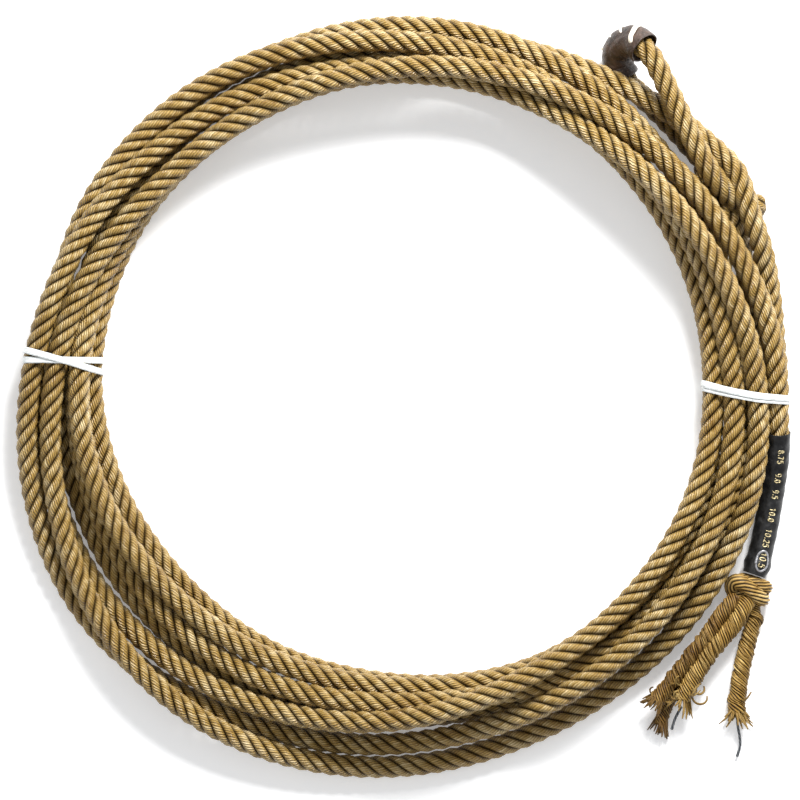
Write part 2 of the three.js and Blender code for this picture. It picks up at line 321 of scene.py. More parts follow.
class Tube:
    """A closed tube along a line, as arrays. radii and angles give its section, and lay is the
    length of one right-handed turn of it, or 0. Its map holds the share of the way round and the
    metres along. scale is one value per row, and looseness one per point."""

    def __init__(self, line, radii, angles, lay=0.0, scale=1.0, looseness=1.0):
        radii, angles = np.array(radii, float), np.array(angles, float)
        n, rows = len(radii), len(line.rows)
        turned = line.along / lay * 2 * math.pi if lay else np.zeros(rows)
        angle = angles[None, :] + turned[:, None]
        across = radii[None, :] * (np.ones(rows) * scale)[:, None] * looseness
        points = (
            line.rows[:, None, :]
            + (across * np.cos(angle))[:, :, None] * line.side[:, None, :]
            + (across * np.sin(angle))[:, :, None] * line.up[:, None, :]
        )
        self.vertices = np.vstack([points.reshape(-1, 3), line.rows[:1], line.rows[-1:]])
        i, k = np.arange(rows - 1)[:, None] * n, np.arange(n)[None, :]
        k2 = (k + 1) % n
        sides = np.stack([i + k, i + k2, i + n + k2, i + n + k], axis=-1).reshape(-1, 4)
        self.faces = sides.tolist() + end_fans(n, rows)
        u, v = np.append(angles - angles[0], 2 * math.pi) / (2 * math.pi), line.along
        corner_u = np.stack([u[:-1], u[1:], u[1:], u[:-1]], -1)
        corner_u = np.broadcast_to(corner_u[None], (rows - 1, n, 4))
        corner_v = np.stack([v[:-1], v[:-1], v[1:], v[1:]], -1)
        corner_v = np.broadcast_to(corner_v[:, None], (rows - 1, n, 4))
        side_map = np.stack([corner_u, corner_v], -1).reshape(-1, 2)
        middle = 0.5 / n
        end_map = [np.tile([middle, end], (3 * n, 1)) for end in (v[0], v[-1])]
        self.map = np.concatenate([side_map, *end_map])


def piece_from(name, tubes, grooves=()):
    """One object from closed tubes. grooves are the places in the section where the edge that
    runs along a lone tube is sharp."""
    vertices, faces, corners, first = [], [], [], 0
    for tube in tubes:
        vertices.append(tube.vertices)
        faces += [[first + k for k in face] for face in tube.faces] if first else tube.faces
        corners.append(tube.map)
        first += len(tube.vertices)
    vertices = np.concatenate(vertices)
    piece = new_piece(name, vertices, faces)
    mesh = piece.data
    layer = mesh.uv_layers.new(name="lay")
    layer.data.foreach_set("uv", np.concatenate(corners).astype(np.float32).ravel())
    if len(grooves):
        section, places = grooves
        last_ring = len(vertices) - 2 - section
        sharp = np.isin(np.arange(len(vertices)) % section, places)
        sharp[-2:] = False
        pairs = np.zeros(len(mesh.edges) * 2, int)
        mesh.edges.foreach_get("vertices", pairs)
        pairs = pairs.reshape(-1, 2)
        both = sharp[pairs].all(axis=1) | (pairs < section).all(axis=1)
        both |= ((pairs >= last_ring) & (pairs < len(vertices) - 2)).all(axis=1)
        mesh.attributes.new("sharp_edge", "BOOLEAN", "EDGE").data.foreach_set("value", both)
    return piece


def round_tube(points, radius, sides=8, step=0.8 * MM, taper=None):
    """A plain round tube through points; taper scales the radius, one value per share along."""
    line = Line(spline(points, step))
    shares = np.linspace(0, 1, len(line.rows))
    scale = 1.0 if taper is None else np.interp(shares, np.linspace(0, 1, len(taper)), taper)
    angles = np.arange(sides) / sides * 2 * math.pi
    return Tube(line, [radius] * sides, angles, scale=scale)


def rings_object(name, rings, looped=True):
    """One closed object from rings of points. The last is joined to the first, or both are filled."""
    count, n = len(rings), len(rings[0])
    i, k = np.arange(count if looped else count - 1)[:, None] * n, np.arange(n)[None, :]
    i2, k2 = (i + n) % (count * n), (k + 1) % n
    faces = np.stack([i + k, i + k2, i2 + k2, i2 + k], axis=-1).reshape(-1, 4).tolist()
    ends = [] if looped else [rings[0].mean(axis=0), rings[-1].mean(axis=0)]
    if ends:
        faces += end_fans(n, count)
    return new_piece(name, np.vstack([*rings, *ends]), faces)


GROUND_GAP = 0.05 * MM


def above_ground(piece):
    """Presses what would be in the ground flat on it."""
    for vertex in piece.data.vertices:
        vertex.co.z = max(vertex.co.z, GROUND_GAP)
    return piece


def mapped(piece, sides, step):
    """Gives a loop of rings its map: share of the way round a ring, metres along."""
    layer = piece.data.uv_layers.new(name="lay")
    places = np.zeros(len(piece.data.loops), int)
    piece.data.loops.foreach_get("vertex_index", places)
    around = (places % sides) / sides
    along = (places // sides) * step
    corners = np.stack([around, along], axis=1).reshape(-1, 4, 2)
    wrapped = corners[:, :, 0].max(axis=1) - corners[:, :, 0].min(axis=1) > 0.5
    corners[wrapped, :, 0] += corners[wrapped, :, 0] < 0.5
    layer.data.foreach_set("uv", corners.astype(np.float32).ravel())


LIP_TURNS = (30, 60, 90, 120, 150)  # where a rounded lip has its rings, in degrees


def shell(name, line, outer, bore, sides=64):
    """A closed tube with a bore and rounded lips. outer(share, angles) gives its outside radius,
    and bore(share) its bore's."""
    angle = np.arange(sides) / sides * 2 * math.pi
    cos, sin = np.cos(angle)[:, None], np.sin(angle)[:, None]
    last = len(line.rows) - 1
    share = (line.along - line.along[0]) / line.length()

    def ring(row, push, radius):
        centre = line.rows[row] + line.ahead[row] * push
        return centre + radius[:, None] * (cos * line.side[row] + sin * line.up[row])

    def lip(row, sign):
        edge, inside = outer(share[row], angle), bore(share[row])
        middle, half = (edge + inside) / 2, (edge - inside) / 2
        for turn in np.radians(LIP_TURNS):
            yield ring(row, sign * half.mean() * math.sin(turn), middle + sign * half * math.cos(turn))

    rings = [ring(i, 0, outer(share[i], angle)) for i in range(last + 1)]
    rings += lip(last, 1)
    rings += [ring(i, 0, np.full(sides, bore(share[i]))) for i in range(last, -1, -1)]
    rings += lip(0, -1)
    return rings_object(name, rings)


def wobble(seed, waves=4):
    """A smooth random function of one number, between about -1 and 1."""
    dice = random.Random(seed)
    parts = [(dice.uniform(0.7, 1.4) * 2**k, dice.uniform(0, 6.28), 0.65**k) for k in range(waves)]
    total = sum(size for _, _, size in parts)
    return lambda x: sum(size * np.sin(rate * x + shift) for rate, shift, size in parts) / total


STRANDS = 4
# One strand's outline from groove to groove: share of the strand's width, share of the radius.
STRAND_OUTLINE = [(-0.5, 0.62), (-0.42, 0.78), (-0.24, 0.95), (0.0, 1.02), (0.24, 0.95), (0.42, 0.78)]
ROWS_PER_LAY = 18


def laid_rope(name, line, radius=ROPE_R, lay=ROPE_LAY, scale=1.0):
    """Four-strand, right-laid rope along line; scale is one value per row."""
    angles, radii, grooves = [], [], []
    for strand in range(STRANDS):
        grooves.append(len(radii))
        for share, size in STRAND_OUTLINE:
            angles.append((strand + share + 0.5) / STRANDS * 2 * math.pi)
            radii.append(size * radius)
    return piece_from(name, [Tube(line, radii, angles, lay, scale)], (len(radii), grooves))


# ---- the coil's turns ----------------------------------------------------------------------
COIL_MIDDLE = (0.0004, 0.0019)  # the middle that the turns wind round
STEPS_PER_TURN = 180
KNOT_ANGLE = 29.0  # where the last turn runs into the eye's knot, in degrees

# Each turn's lane, anticlockwise from the right tie: (degrees, radius, rank). The rank says what
# lies on what where turns cross: a higher one lies on a lower one.
TURN_LANES = [
    [
        (0, 0.1740, 6), (12, 0.1722, 6), (20, 0.1691, 6), (40, 0.1635, 6), (60, 0.1578, 6), (80, 0.1546, 6),
        (100, 0.1508, 6), (125, 0.1490, 6), (140, 0.1508, 6), (160, 0.1583, 6), (180, 0.1648, 6),
        (200, 0.1714, 6), (215, 0.1768, 6), (235, 0.1793, 6), (250, 0.1775, 6), (270, 0.1733, 6),
        (290, 0.1686, 6), (310, 0.1672, 6), (340, 0.1674, 6), (350, 0.1658, 6),
    ],
    [
        (0, 0.1639, 5.5), (20, 0.1574, 5.5), (40, 0.1518, 5.5), (60, 0.1487, 5.5),
        (80, 0.1499, 5.5), (110, 0.1500, 5), (145, 0.1508, 5), (160, 0.1522, 5), (180, 0.1524, 5),
        (200, 0.1494, 5), (220, 0.1429, 5), (235, 0.1400, 5), (250, 0.1368, 3), (270, 0.1356, 2.5),
        (280, 0.1371, 2.5), (292, 0.1396, 2), (320, 0.1430, 1), (345, 0.1470, 0.5),
    ],
    [
        (0, 0.1440, 0), (30, 0.1475, 0), (60, 0.1510, 0), (90, 0.1530, 0), (120, 0.1520, 0),
        (150, 0.1497, 0), (165, 0.1488, 0), (180, 0.1470, 0), (190, 0.1445, 0), (200, 0.1418, 0),
        (210, 0.1389, 0), (220, 0.1368, 0), (230, 0.1359, 0), (240, 0.1354, 0), (260, 0.1340, 0),
        (275, 0.1360, 0), (295, 0.1400, 0), (320, 0.1480, 0), (340, 0.1530, 0),
    ],
    [
        (0, 0.1540, 0), (20, 0.1600, 0.5), (45, 0.1644, 1.5), (50, 0.1662, 2), (60, 0.1686, 2),
        (70, 0.1704, 2), (85, 0.1726, 2), (100, 0.1723, 1.8), (125, 0.1710, 0.8),
        (160, 0.1710, 0.6), (188, 0.1715, 0.6), (212, 0.1704, 4), (230, 0.1653, 5),
        (250, 0.1578, 5.2), (270, 0.1499, 5.2), (285, 0.1440, 5.2), (300, 0.1405, 5.2),
        (320, 0.1406, 5.2), (340, 0.1424, 5),
    ],
    [
        (0, 0.1434, 3.2), (20, 0.1452, 2.8), (40, 0.1476, 2.2), (55, 0.1500, 2), (65, 0.1570, 1.5),
        (75, 0.1590, 1.5), (85, 0.1570, 2), (97, 0.1543, 4), (110, 0.1574, 4), (130, 0.1620, 4),
        (150, 0.1672, 4), (170, 0.1723, 4), (190, 0.1793, 4), (210, 0.1826, 4), (220, 0.1812, 4),
        (230, 0.1760, 3.5), (240, 0.1714, 3.5),
        (250, 0.1681, 3.5), (260, 0.1653, 3.5), (280, 0.1597, 3.5), (300, 0.1568, 4),
        (320, 0.1559, 5), (340, 0.1550, 5),
    ],
    [
        (0, 0.1527, 4.5), (20, 0.1508, 4), (35, 0.1510, 3), (55, 0.1550, 3), (70, 0.1611, 3),
        (90, 0.1648, 3), (110, 0.1705, 3), (130, 0.1733, 3), (150, 0.1728, 3), (170, 0.1665, 2),
        (190, 0.1606, 1), (210, 0.1592, 1), (230, 0.1564, 1), (245, 0.1532, 1), (260, 0.1500, 1),
        (275, 0.1500, 0.6), (290, 0.1508, 0.4), (305, 0.1520, 0.2), (318, 0.1590, 0.1),
        (330, 0.1605, 0.1), (343, 0.1660, 0.1), (352, 0.1715, 0.5),
    ],
    [
        (0, 0.1740, 1), (10, 0.1750, 1), (60, 0.1740, 1.3), (75, 0.1700, 1.2), (100, 0.1640, 1),
        (130, 0.1600, 1), (160, 0.1560, 1.2), (190, 0.1540, 1.5), (220, 0.1518, 3), (240, 0.1490, 4),
        (255, 0.1455, 4), (270, 0.1425, 4), (285, 0.1435, 3), (300, 0.1490, 2.4), (320, 0.1530, 2),
        (340, 0.1590, 1.2),
    ],
    [
        (0, 0.1632, 0.2), (8, 0.1640, 0.2), (14, 0.1660, 0.2), (20, 0.1690, 0.2), (25, 0.1720, 0.2),
        (29, 0.1752, 0.2),
    ],
]
# Stretches that other turns cover, where a turn is free to find its own place:
# (turn, from degrees, to degrees).
COVERED = [
    (1, 95, 140), (1, 295, 360), (2, 0, 148), (2, 285, 360), (3, 0, 40), (3, 110, 208),
    (4, 58, 92), (5, 42, 66), (5, 158, 185), (5, 238, 280), (5, 312, 344), (6, 75, 215),
    (6, 285, 360), (7, 0, 12),
]

SETTLING_ROUNDS = 420
LATE_ROUNDS = 0.7  # after this share of the rounds the turns sink slowly
SINK, SLOW_SINK = 0.35 * MM, 0.08 * MM  # how far the turns sink in a round
RANK_RISE = 1.15 * ROPE_D  # how high above the one before each rank starts
TIE_REACH = 5.0  # the bands lift the rope within about so many degrees
LANE_HOLD, HIDDEN_HOLD = 0.6, 0.15  # how firmly a turn keeps to its lane, seen and covered
STIFFNESS, EASING = 4, 14  # smoothing passes in each round of settling, and after it
GRIP_ENDS = 4  # steps at both ends of a route from the CAD model that give a little
STACKED_WITHIN = 0.72  # closer than this many ropes sideways, one turn lies on the other
SLIDES = (0.28, 0.9)  # how much of a push goes sideways, in a turn that is seen and one that isn't
MOST_LIFT, MOST_SHIFT = 4 * MM, 2 * MM  # limits on how far a stretch is moved at once

# The outermost turn runs through the eye on this route, as in the CAD model.
THREADED_ROUTE = [
    (0.1740, -0.0040, 0.00785), (0.1740, 0.0040, 0.00785), (0.1738, 0.0150, 0.0072),
    (0.1732, 0.0265, 0.0059), (0.1723, 0.0388, 0.0056), (0.1708, 0.0510, 0.0066),
    (0.1686, 0.0634, 0.0094), (0.1656, 0.0745, 0.0134), (0.1616, 0.0856, 0.0160),
    (0.1580, 0.0980, 0.0163), (0.1529, 0.1088, 0.0163), (0.1412, 0.1200, 0.0163),
    (0.1287, 0.1302, 0.0163), (0.1154, 0.1390, 0.0163), (0.1019, 0.1470, 0.0163),
    (0.0942, 0.1519, 0.0163),
]
THREADED_TURN = 6
# The rope's other end, from under the right tie to the tail.
BOUND_TAIL_ROUTE = [
    (0.1739, -0.0086, 0.01895), (0.1739, 0.0020, 0.01895), (0.1735, 0.0120, 0.01895),
    (0.1722, 0.0240, 0.0193), (0.1708, 0.0340, 0.0206),
]
TAIL_HINGE = BOUND_TAIL_ROUTE[0]


def smooth_lane(lanes, column):
    """One column of all lanes as a smooth run over the whole rope, one value per step."""
    angles, values = [], []
    for turn, lane in enumerate(lanes):
        for row in lane:
            angles.append(row[0] + 360 * turn)
            values.append(row[column])
    total = 360 * (len(lanes) - 1) + KNOT_ANGLE
    steps = np.arange(0, total + 1e-6, 360 / STEPS_PER_TURN)
    return steps, hermite(np.array(angles, float), np.array(values, float), steps)


def hermite(x, y, at):
    """Cubic through (x, y) that doesn't overshoot between points."""
    slope = np.diff(y) / np.diff(x)
    m = np.zeros(len(x))
    m[0], m[-1] = slope[0], slope[-1]
    same = slope[:-1] * slope[1:] > 0
    both = slope[:-1] + slope[1:]
    m[1:-1][same] = 2 * slope[:-1][same] * slope[1:][same] / both[same]
    k = np.clip(np.searchsorted(x, at, side="right") - 1, 0, len(x) - 2)
    h = x[k + 1] - x[k]
    t = (at - x[k]) / h
    return (
        (2 * t**3 - 3 * t**2 + 1) * y[k] + (t**3 - 2 * t**2 + t) * h * m[k]
        + (3 * t**2 - 2 * t**3) * y[k + 1] + (t**3 - t**2) * h * m[k + 1]
    )


def pinned_places(angles):
    """Where the CAD routes hold the rope: a mask over the steps, with radius and height."""
    held = np.zeros(len(angles), bool)
    radius, height = np.zeros(len(angles)), np.zeros(len(angles))
    for route, turn in ((THREADED_ROUTE, THREADED_TURN), (BOUND_TAIL_ROUTE, 0)):
        fine = spline(route, MM)
        around = np.degrees(np.arctan2(fine[:, 1] - COIL_MIDDLE[1], fine[:, 0] - COIL_MIDDLE[0]))
        away = np.hypot(fine[:, 0] - COIL_MIDDLE[0], fine[:, 1] - COIL_MIDDLE[1])
        around = around + 360 * turn
        inside = (angles >= around[0]) & (angles <= around[-1])
        held |= inside
        radius[inside] = np.interp(angles[inside], around, away)
        height[inside] = np.interp(angles[inside], around, fine[:, 2])
    return held, radius, height


def bundle_edges(lane, hidden):
    """The lanes of the innermost and outermost turns in view at each step's angle."""
    spare = -len(lane) % STEPS_PER_TURN
    rows = np.pad(np.where(hidden, np.nan, lane), (0, spare), constant_values=np.nan)
    rows = rows.reshape(-1, STEPS_PER_TURN)
    low = np.tile(np.nanmin(rows, axis=0), len(rows))[: len(lane)]
    high = np.tile(np.nanmax(rows, axis=0), len(rows))[: len(lane)]
    return low, high


def settle():
    """Lets the turns sink on to the ground and each other in their lanes, and returns points on
    the middle line of the rope from the right tie to the eye's knot."""
    angles, lane = smooth_lane(TURN_LANES, 1)
    rank = smooth_lane(TURN_LANES, 2)[1]
    held, held_radius, held_height = pinned_places(angles)
    hidden = np.zeros(len(angles), bool)
    for turn, start, stop in COVERED:
        hidden |= (angles >= 360 * turn + start) & (angles <= 360 * turn + stop)
    hold = np.where(hidden, HIDDEN_HOLD, LANE_HOLD)
    low, high = bundle_edges(lane, hidden)
    radius = lane.copy()
    height = ROPE_R + rank * RANK_RISE
    tie = np.minimum(np.abs((angles + 180) % 360 - 180), np.abs(angles % 360 - 180))
    ground = ROPE_R + BAND_LIFT * np.exp(-((tie / TIE_REACH) ** 2))
    for settling in range(SETTLING_ROUNDS):
        height -= SINK if settling / SETTLING_ROUNDS < LATE_ROUNDS else SLOW_SINK
        radius += hold * (lane - radius)
        for bend in range(STIFFNESS):
            for values in (radius, height):
                middle = (values[:-2] + values[2:]) / 2
                values[1:-1] += 0.5 * (middle - values[1:-1])
        for again in range(3):
            push_apart(radius, height, rank, hold)
            height = np.maximum(height, ground)
            radius = np.where(hidden, np.clip(radius, low, high), radius)
            radius[held], height[held] = held_radius[held], held_height[held]
    gripped = np.convolve(held, np.ones(2 * GRIP_ENDS + 1), "same") > 2 * GRIP_ENDS
    for values in (radius, height):
        eased = values.copy()
        for bend in range(EASING):
            eased[1:-1] += 0.25 * (eased[:-2] - 2 * eased[1:-1] + eased[2:])
        values[~gripped] = eased[~gripped]
    x = COIL_MIDDLE[0] + radius * np.cos(np.radians(angles))
    y = COIL_MIDDLE[1] + radius * np.sin(np.radians(angles))
    return np.stack([x, y, height], axis=1)


def push_apart(radius, height, rank, hold):
    """Moves stretches of different turns that are less than a rope apart away from each other.
    Where one must lie on the other, by their ranks, they only part up and down."""
    n = len(radius)
    shift_r, shift_z = np.zeros(n), np.zeros(n)
    for turns in range(1, len(TURN_LANES)):
        step = turns * STEPS_PER_TURN
        if step >= n:
            break
        dr = radius[step:] - radius[:-step]
        dz = height[step:] - height[:-step]
        away = np.hypot(dr, dz) + 1e-9
        short = np.clip(ROPE_D - away, 0, None) * 0.5
        order = np.sign(rank[step:] - rank[:-step])
        rise = np.sqrt(np.clip(ROPE_D**2 - dr**2, 0, None))
        stacked = (np.abs(dr) < STACKED_WITHIN * ROPE_D) & (order * dz < rise)
        lift = np.where(stacked, order * np.clip(rise - order * dz, 0, MOST_LIFT) / 2, 0)
        shift_z[:-step] -= lift
        shift_z[step:] += lift
        short[stacked] = 0
        slide_a = np.where(hold[:-step] > HIDDEN_HOLD, *SLIDES)
        slide_b = np.where(hold[step:] > HIDDEN_HOLD, *SLIDES)
        shift_r[:-step] -= short * dr / away * slide_a
        shift_r[step:] += short * dr / away * slide_b
        shift_z[:-step] -= short * dz / away
        shift_z[step:] += short * dz / away
    radius += np.clip(shift_r, -MOST_SHIFT, MOST_SHIFT)
    height += np.clip(shift_z, -MOST_SHIFT, MOST_SHIFT)


turns = settle()

# ---- the rope's whole middle line ------------------------------------------------------------
TAIL_ROUTE = [
    (0.1639, -0.0804, 0.0063), (0.1655, -0.0751, 0.0063), (0.1689, -0.0596, 0.0063),
    (0.1715, -0.0443, 0.0080), (0.1735, -0.0290, 0.0126), (0.1740, -0.0176, 0.0166), TAIL_HINGE,
]
KNOT_ROUTE = [(0.1492, 0.0903, 0.0078), (0.1436, 0.0950, 0.0085), (0.1406, 0.1020, 0.0070)]
EYE_ROUTE = [
    (0.1400, 0.1109, 0.0053), (0.1348, 0.1173, 0.0053), (0.1261, 0.1272, 0.0053),
    (0.1170, 0.1364, 0.0053), (0.1085, 0.1446, 0.0053), (0.1026, 0.1514, 0.0060),
    (0.0996, 0.1590, 0.0084), (0.1008, 0.1652, 0.0138), (0.1060, 0.1672, 0.0208),
    (0.1116, 0.1634, 0.0258), (0.1164, 0.1565, 0.0273), (0.1228, 0.1435, 0.0273),
    (0.1298, 0.1290, 0.0273), (0.1362, 0.1163, 0.0262), (0.1414, 0.1075, 0.0235),
    (0.1468, 0.1001, 0.0190),
]
END_ROUTE = [
    (0.1514, 0.0951, 0.0128), (0.1562, 0.0916, 0.0072), (0.1620, 0.0909, 0.0053),
    (0.1689, 0.0916, 0.00525),
]


def nearest_row(rows, point):
    return int(np.argmin(np.linalg.norm(rows - np.array(point), axis=1)))


def whole_rope():
    """The line of the whole rope, tail first, and the rows where it is cut into pieces."""
    points = np.vstack([TAIL_ROUTE, turns, KNOT_ROUTE, EYE_ROUTE, END_ROUTE])
    rows = spline(points, ROPE_LAY / ROWS_PER_LAY)
    cuts = [nearest_row(rows, point) for point in (turns[0], KNOT_ROUTE[1], EYE_ROUTE[-1])]
    return Line(rows), cuts


rope_line, (tie_row, eye_first, eye_last) = whole_rope()
tail_line = rope_line.part(0, tie_row + 1)
coil_line = rope_line.part(tie_row, eye_first + 1)
eye_line = rope_line.part(eye_first, eye_last + 1)
end_line = rope_line.part(eye_last, None)


# ---- materials -------------------------------------------------------------------------------
class Nodes:
    """A short way to build a material's nodes."""

    def __init__(self, name, roughness=0.5):
        self.material = bpy.data.materials.new(name)
        self.material.use_nodes = True
        self.tree = self.material.node_tree
        self.shader = self.tree.nodes["Principled BSDF"]
        self.shader.inputs["Roughness"].default_value = roughness

    def add(self, kind, **inputs):
        node = self.tree.nodes.new(kind)
        for key, value in inputs.items():
            self.set(node, key, value)
        return node

    def set(self, node, key, value):
        if isinstance(value, bpy.types.NodeSocket):
            self.tree.links.new(value, node.inputs[key])
        else:
            node.inputs[key].default_value = value

    def math(self, operation, a, b=0.0):
        node = self.tree.nodes.new("ShaderNodeMath")
        node.operation = operation
        self.set(node, 0, a)
        self.set(node, 1, b)
        return node.outputs[0]

    def plus(self, a, b):
        return self.math("ADD", a, b)

    def times(self, a, b):
        return self.math("MULTIPLY", a, b)

    def noise(self, vector, scale, detail=2.0, rough=0.5):
        values = {"Vector": vector, "Scale": scale, "Detail": detail, "Roughness": rough}
        return self.add("ShaderNodeTexNoise", **values).outputs["Fac"]

    def streaks(self, around, per_turn, along, per_metre, scale, detail):
        """Noise on a sweep's own map, drawn out to its own scales round it and along it."""
        at = self.vector(self.times(around, per_turn), self.times(along, per_metre))
        return self.noise(at, scale, detail)

    def ramp(self, value, stops):
        node = self.tree.nodes.new("ShaderNodeValToRGB")
        self.tree.links.new(value, node.inputs[0])
        elements = node.color_ramp.elements
        while len(elements) < len(stops):
            elements.new(0.5)
        for element, (place, colour) in zip(elements, stops):
            element.position = place
            element.color = (*colour, 1)
        return node.outputs["Color"]

    def mix(self, share, a, b, mode="MIX"):
        node = self.tree.nodes.new("ShaderNodeMix")
        node.data_type, node.blend_type = "RGBA", mode
        self.set(node, 0, share)
        for i, value in ((6, a), (7, b)):
            self.set(node, i, (*value, 1) if isinstance(value, tuple) else value)
        return node.outputs[2]

    def between(self, value, low, high, to_low=0.0, to_high=1.0):
        node = self.tree.nodes.new("ShaderNodeMapRange")
        node.interpolation_type = "SMOOTHSTEP"
        for i, v in enumerate((value, low, high, to_low, to_high)):
            self.set(node, i, v)
        return node.outputs[0]

    def place(self):
        return self.add("ShaderNodeTexCoord").outputs["Object"]

    def lay(self):
        """The sweep's own map: share of the way round, and metres along."""
        node = self.tree.nodes.new("ShaderNodeUVMap")
        node.uv_map = "lay"
        split = self.add("ShaderNodeSeparateXYZ", Vector=node.outputs[0])
        return split.outputs[0], split.outputs[1]

    def vector(self, x, y=0.0, z=0.0):
        return self.add("ShaderNodeCombineXYZ", X=x, Y=y, Z=z).outputs[0]

    def bump(self, height, distance, strength=1.0):
        node = self.add("ShaderNodeBump", Strength=strength, Distance=distance, Height=height)
        return node.outputs[0]

    def finish(self, colour, normal, roughness=None):
        self.set(self.shader, "Base Color", colour)
        self.set(self.shader, "Normal", normal)
        if roughness is not None:
            self.set(self.shader, "Roughness", roughness)
        return self.material


YARN_RIDGES = 26  # ridges of yarn round the rope
RIDGE_LEAN = -0.22  # how far the ridges lean with the strands, as a share of the lay


def groove_shade(m, around, count, low, high, depth):
    """How deep in a groove a point is, for count grooves round a sweep; it masks the painted shade that darkens
    grooves.
    """
    place = m.math("FRACT", m.times(around, float(count)))
    edge = m.times(m.math("ABSOLUTE", m.math("SUBTRACT", place, 0.5)), 2.0)
    return m.between(edge, low, high, 0.0, depth)


def rope_material():
    """Waxed laid yarn: fine ridges nearly along the rope, with painted shade in their valleys and a painted highlight
    on their tops, and the grooves between strands painted dark as shade.
    """
    m = Nodes("rope_yarn")
    around, along = m.lay()
    turns_along = m.math("DIVIDE", along, ROPE_LAY / (1 - RIDGE_LEAN))
    place = m.place()
    wander = m.noise(place, 300.0, 2.0)
    ridges = m.times(m.plus(around, turns_along), float(YARN_RIDGES))
    ridge_at = m.plus(ridges, m.times(wander, 0.9))
    wave = m.math("SINE", m.times(ridge_at, 2 * math.pi))
    yarn = m.math("FLOOR", ridge_at)
    tone = m.streaks(yarn, 0.37, along, 70.0, 1.7, 2.0)
    broad = m.noise(place, 38.0, 3.0, 0.6)
    value = m.plus(m.times(tone, 0.6), m.times(broad, 0.4))
    colour = m.ramp(value, [
        (0.30, (0.22, 0.119, 0.022)), (0.50, (0.395, 0.254, 0.069)), (0.68, (0.69, 0.545, 0.300)),
    ])
    # painted shade in the valleys between yarn ridges, and a painted highlight where the ridge tops are brightened
    # above their colour
    valley = m.between(wave, -0.9, 0.9, 0.56, 1.10)
    shade = m.vector(valley, m.math("POWER", valley, 1.12), m.math("POWER", valley, 1.5))
    colour = m.mix(1.0, colour, shade, "MULTIPLY")
    # painted shade: the grooves between strands are darkened almost to black
    colour = m.mix(groove_shade(m, around, STRANDS, 0.50, 1.06, 0.97), colour, (0.018, 0.008, 0.002))
    fuzz = m.noise(place, 2600.0, 2.0)
    height = m.plus(m.times(wave, 0.5), m.times(fuzz, 0.35))
    normal = m.bump(height, 0.36 * MM)
    return m.finish(colour, normal, m.between(tone, 0.3, 0.7, 0.28, 0.45))


YARNS = 10  # yarns round a loosened strand


def yarn_material(name, dark, mid, pale):
    """The yarns of a loosened strand, each of fine waxed fibres, with painted shade in the gaps between yarns."""
    m = Nodes(name)
    m.shader.inputs["Specular IOR Level"].default_value = 0.25
    around, along = m.lay()
    place = m.place()
    yarn = m.math("FLOOR", m.times(around, float(YARNS)))
    tone = m.streaks(yarn, 1.37, along, 90.0, 2.0, 3.0)
    broad = m.noise(place, 90.0, 3.0, 0.6)
    value = m.plus(m.times(tone, 0.6), m.times(broad, 0.4))
    colour = m.ramp(value, [(0.32, dark), (0.5, mid), (0.66, pale)])
    # painted shade: the gaps between yarns are darkened almost to black
    colour = m.mix(groove_shade(m, around, YARNS, 0.18, 0.92, 0.98), colour, (0.014, 0.005, 0.001))
    fibres = m.streaks(around, 190.0, along, 500.0, 1.0, 3.0)
    normal = m.bump(fibres, 0.25 * MM, 0.8)
    return m.finish(colour, normal, m.between(tone, 0.3, 0.7, 0.34, 0.55))


def leather_material():
    """Dark waxed leather: creased, reddish brown, with a painted grey sheen where it stands proud."""
    m = Nodes("waxed_leather")
    place = m.place()
    blotch = m.noise(place, 150.0, 4.0, 0.65)
    creases = m.noise(place, 520.0, 4.0, 0.7)
    grain = m.noise(place, 2400.0, 2.0)
    colour = m.ramp(blotch, [
        (0.32, (0.008, 0.004, 0.003)), (0.5, (0.032, 0.016, 0.009)), (0.66, (0.070, 0.036, 0.022)),
    ])
    # painted sheen: the raised creases are mixed towards grey
    painted_sheen = m.between(creases, 0.54, 0.72, 0.0, 0.60)
    colour = m.mix(painted_sheen, colour, (0.15, 0.12, 0.10))
    height = m.plus(creases, m.times(grain, 0.25))
    return m.finish(colour, m.bump(height, 0.6 * MM, 0.9), m.between(creases, 0.35, 0.65, 0.32, 0.6))


def lace_material():
    m = Nodes("rawhide", 0.55)
    place = m.place()
    stain = m.noise(place, 420.0, 3.0, 0.6)
    colour = m.ramp(stain, [(0.3, (0.62, 0.55, 0.40)), (0.5, (0.83, 0.79, 0.68)), (0.7, (0.93, 0.91, 0.84))])
    return m.finish(colour, m.bump(m.noise(place, 1500.0, 3.0), 0.15 * MM, 0.6))


BAND_THREADS = 14  # threads round a band's section


def band_material():
    """Flat white woven band, its threads along it, with painted shade in their valleys."""
    m = Nodes("white_band")
    around, along = m.lay()
    threads = m.math("SINE", m.times(around, 2 * math.pi * BAND_THREADS))
    soil = m.streaks(around, 9.0, along, 150.0, 1.5, 3.0)
    colour = m.ramp(soil, [(0.3, (0.60, 0.63, 0.62)), (0.52, (0.80, 0.83, 0.82)), (0.7, (0.90, 0.92, 0.92))])
    # painted shade: the valleys between threads are darkened a little
    valley = m.between(threads, -1.0, 0.3, 0.86, 1.0)
    colour = m.mix(1.0, colour, m.vector(valley, valley, valley), "MULTIPLY")
    return m.finish(colour, m.bump(m.plus(threads, soil), 0.1 * MM, 0.6))


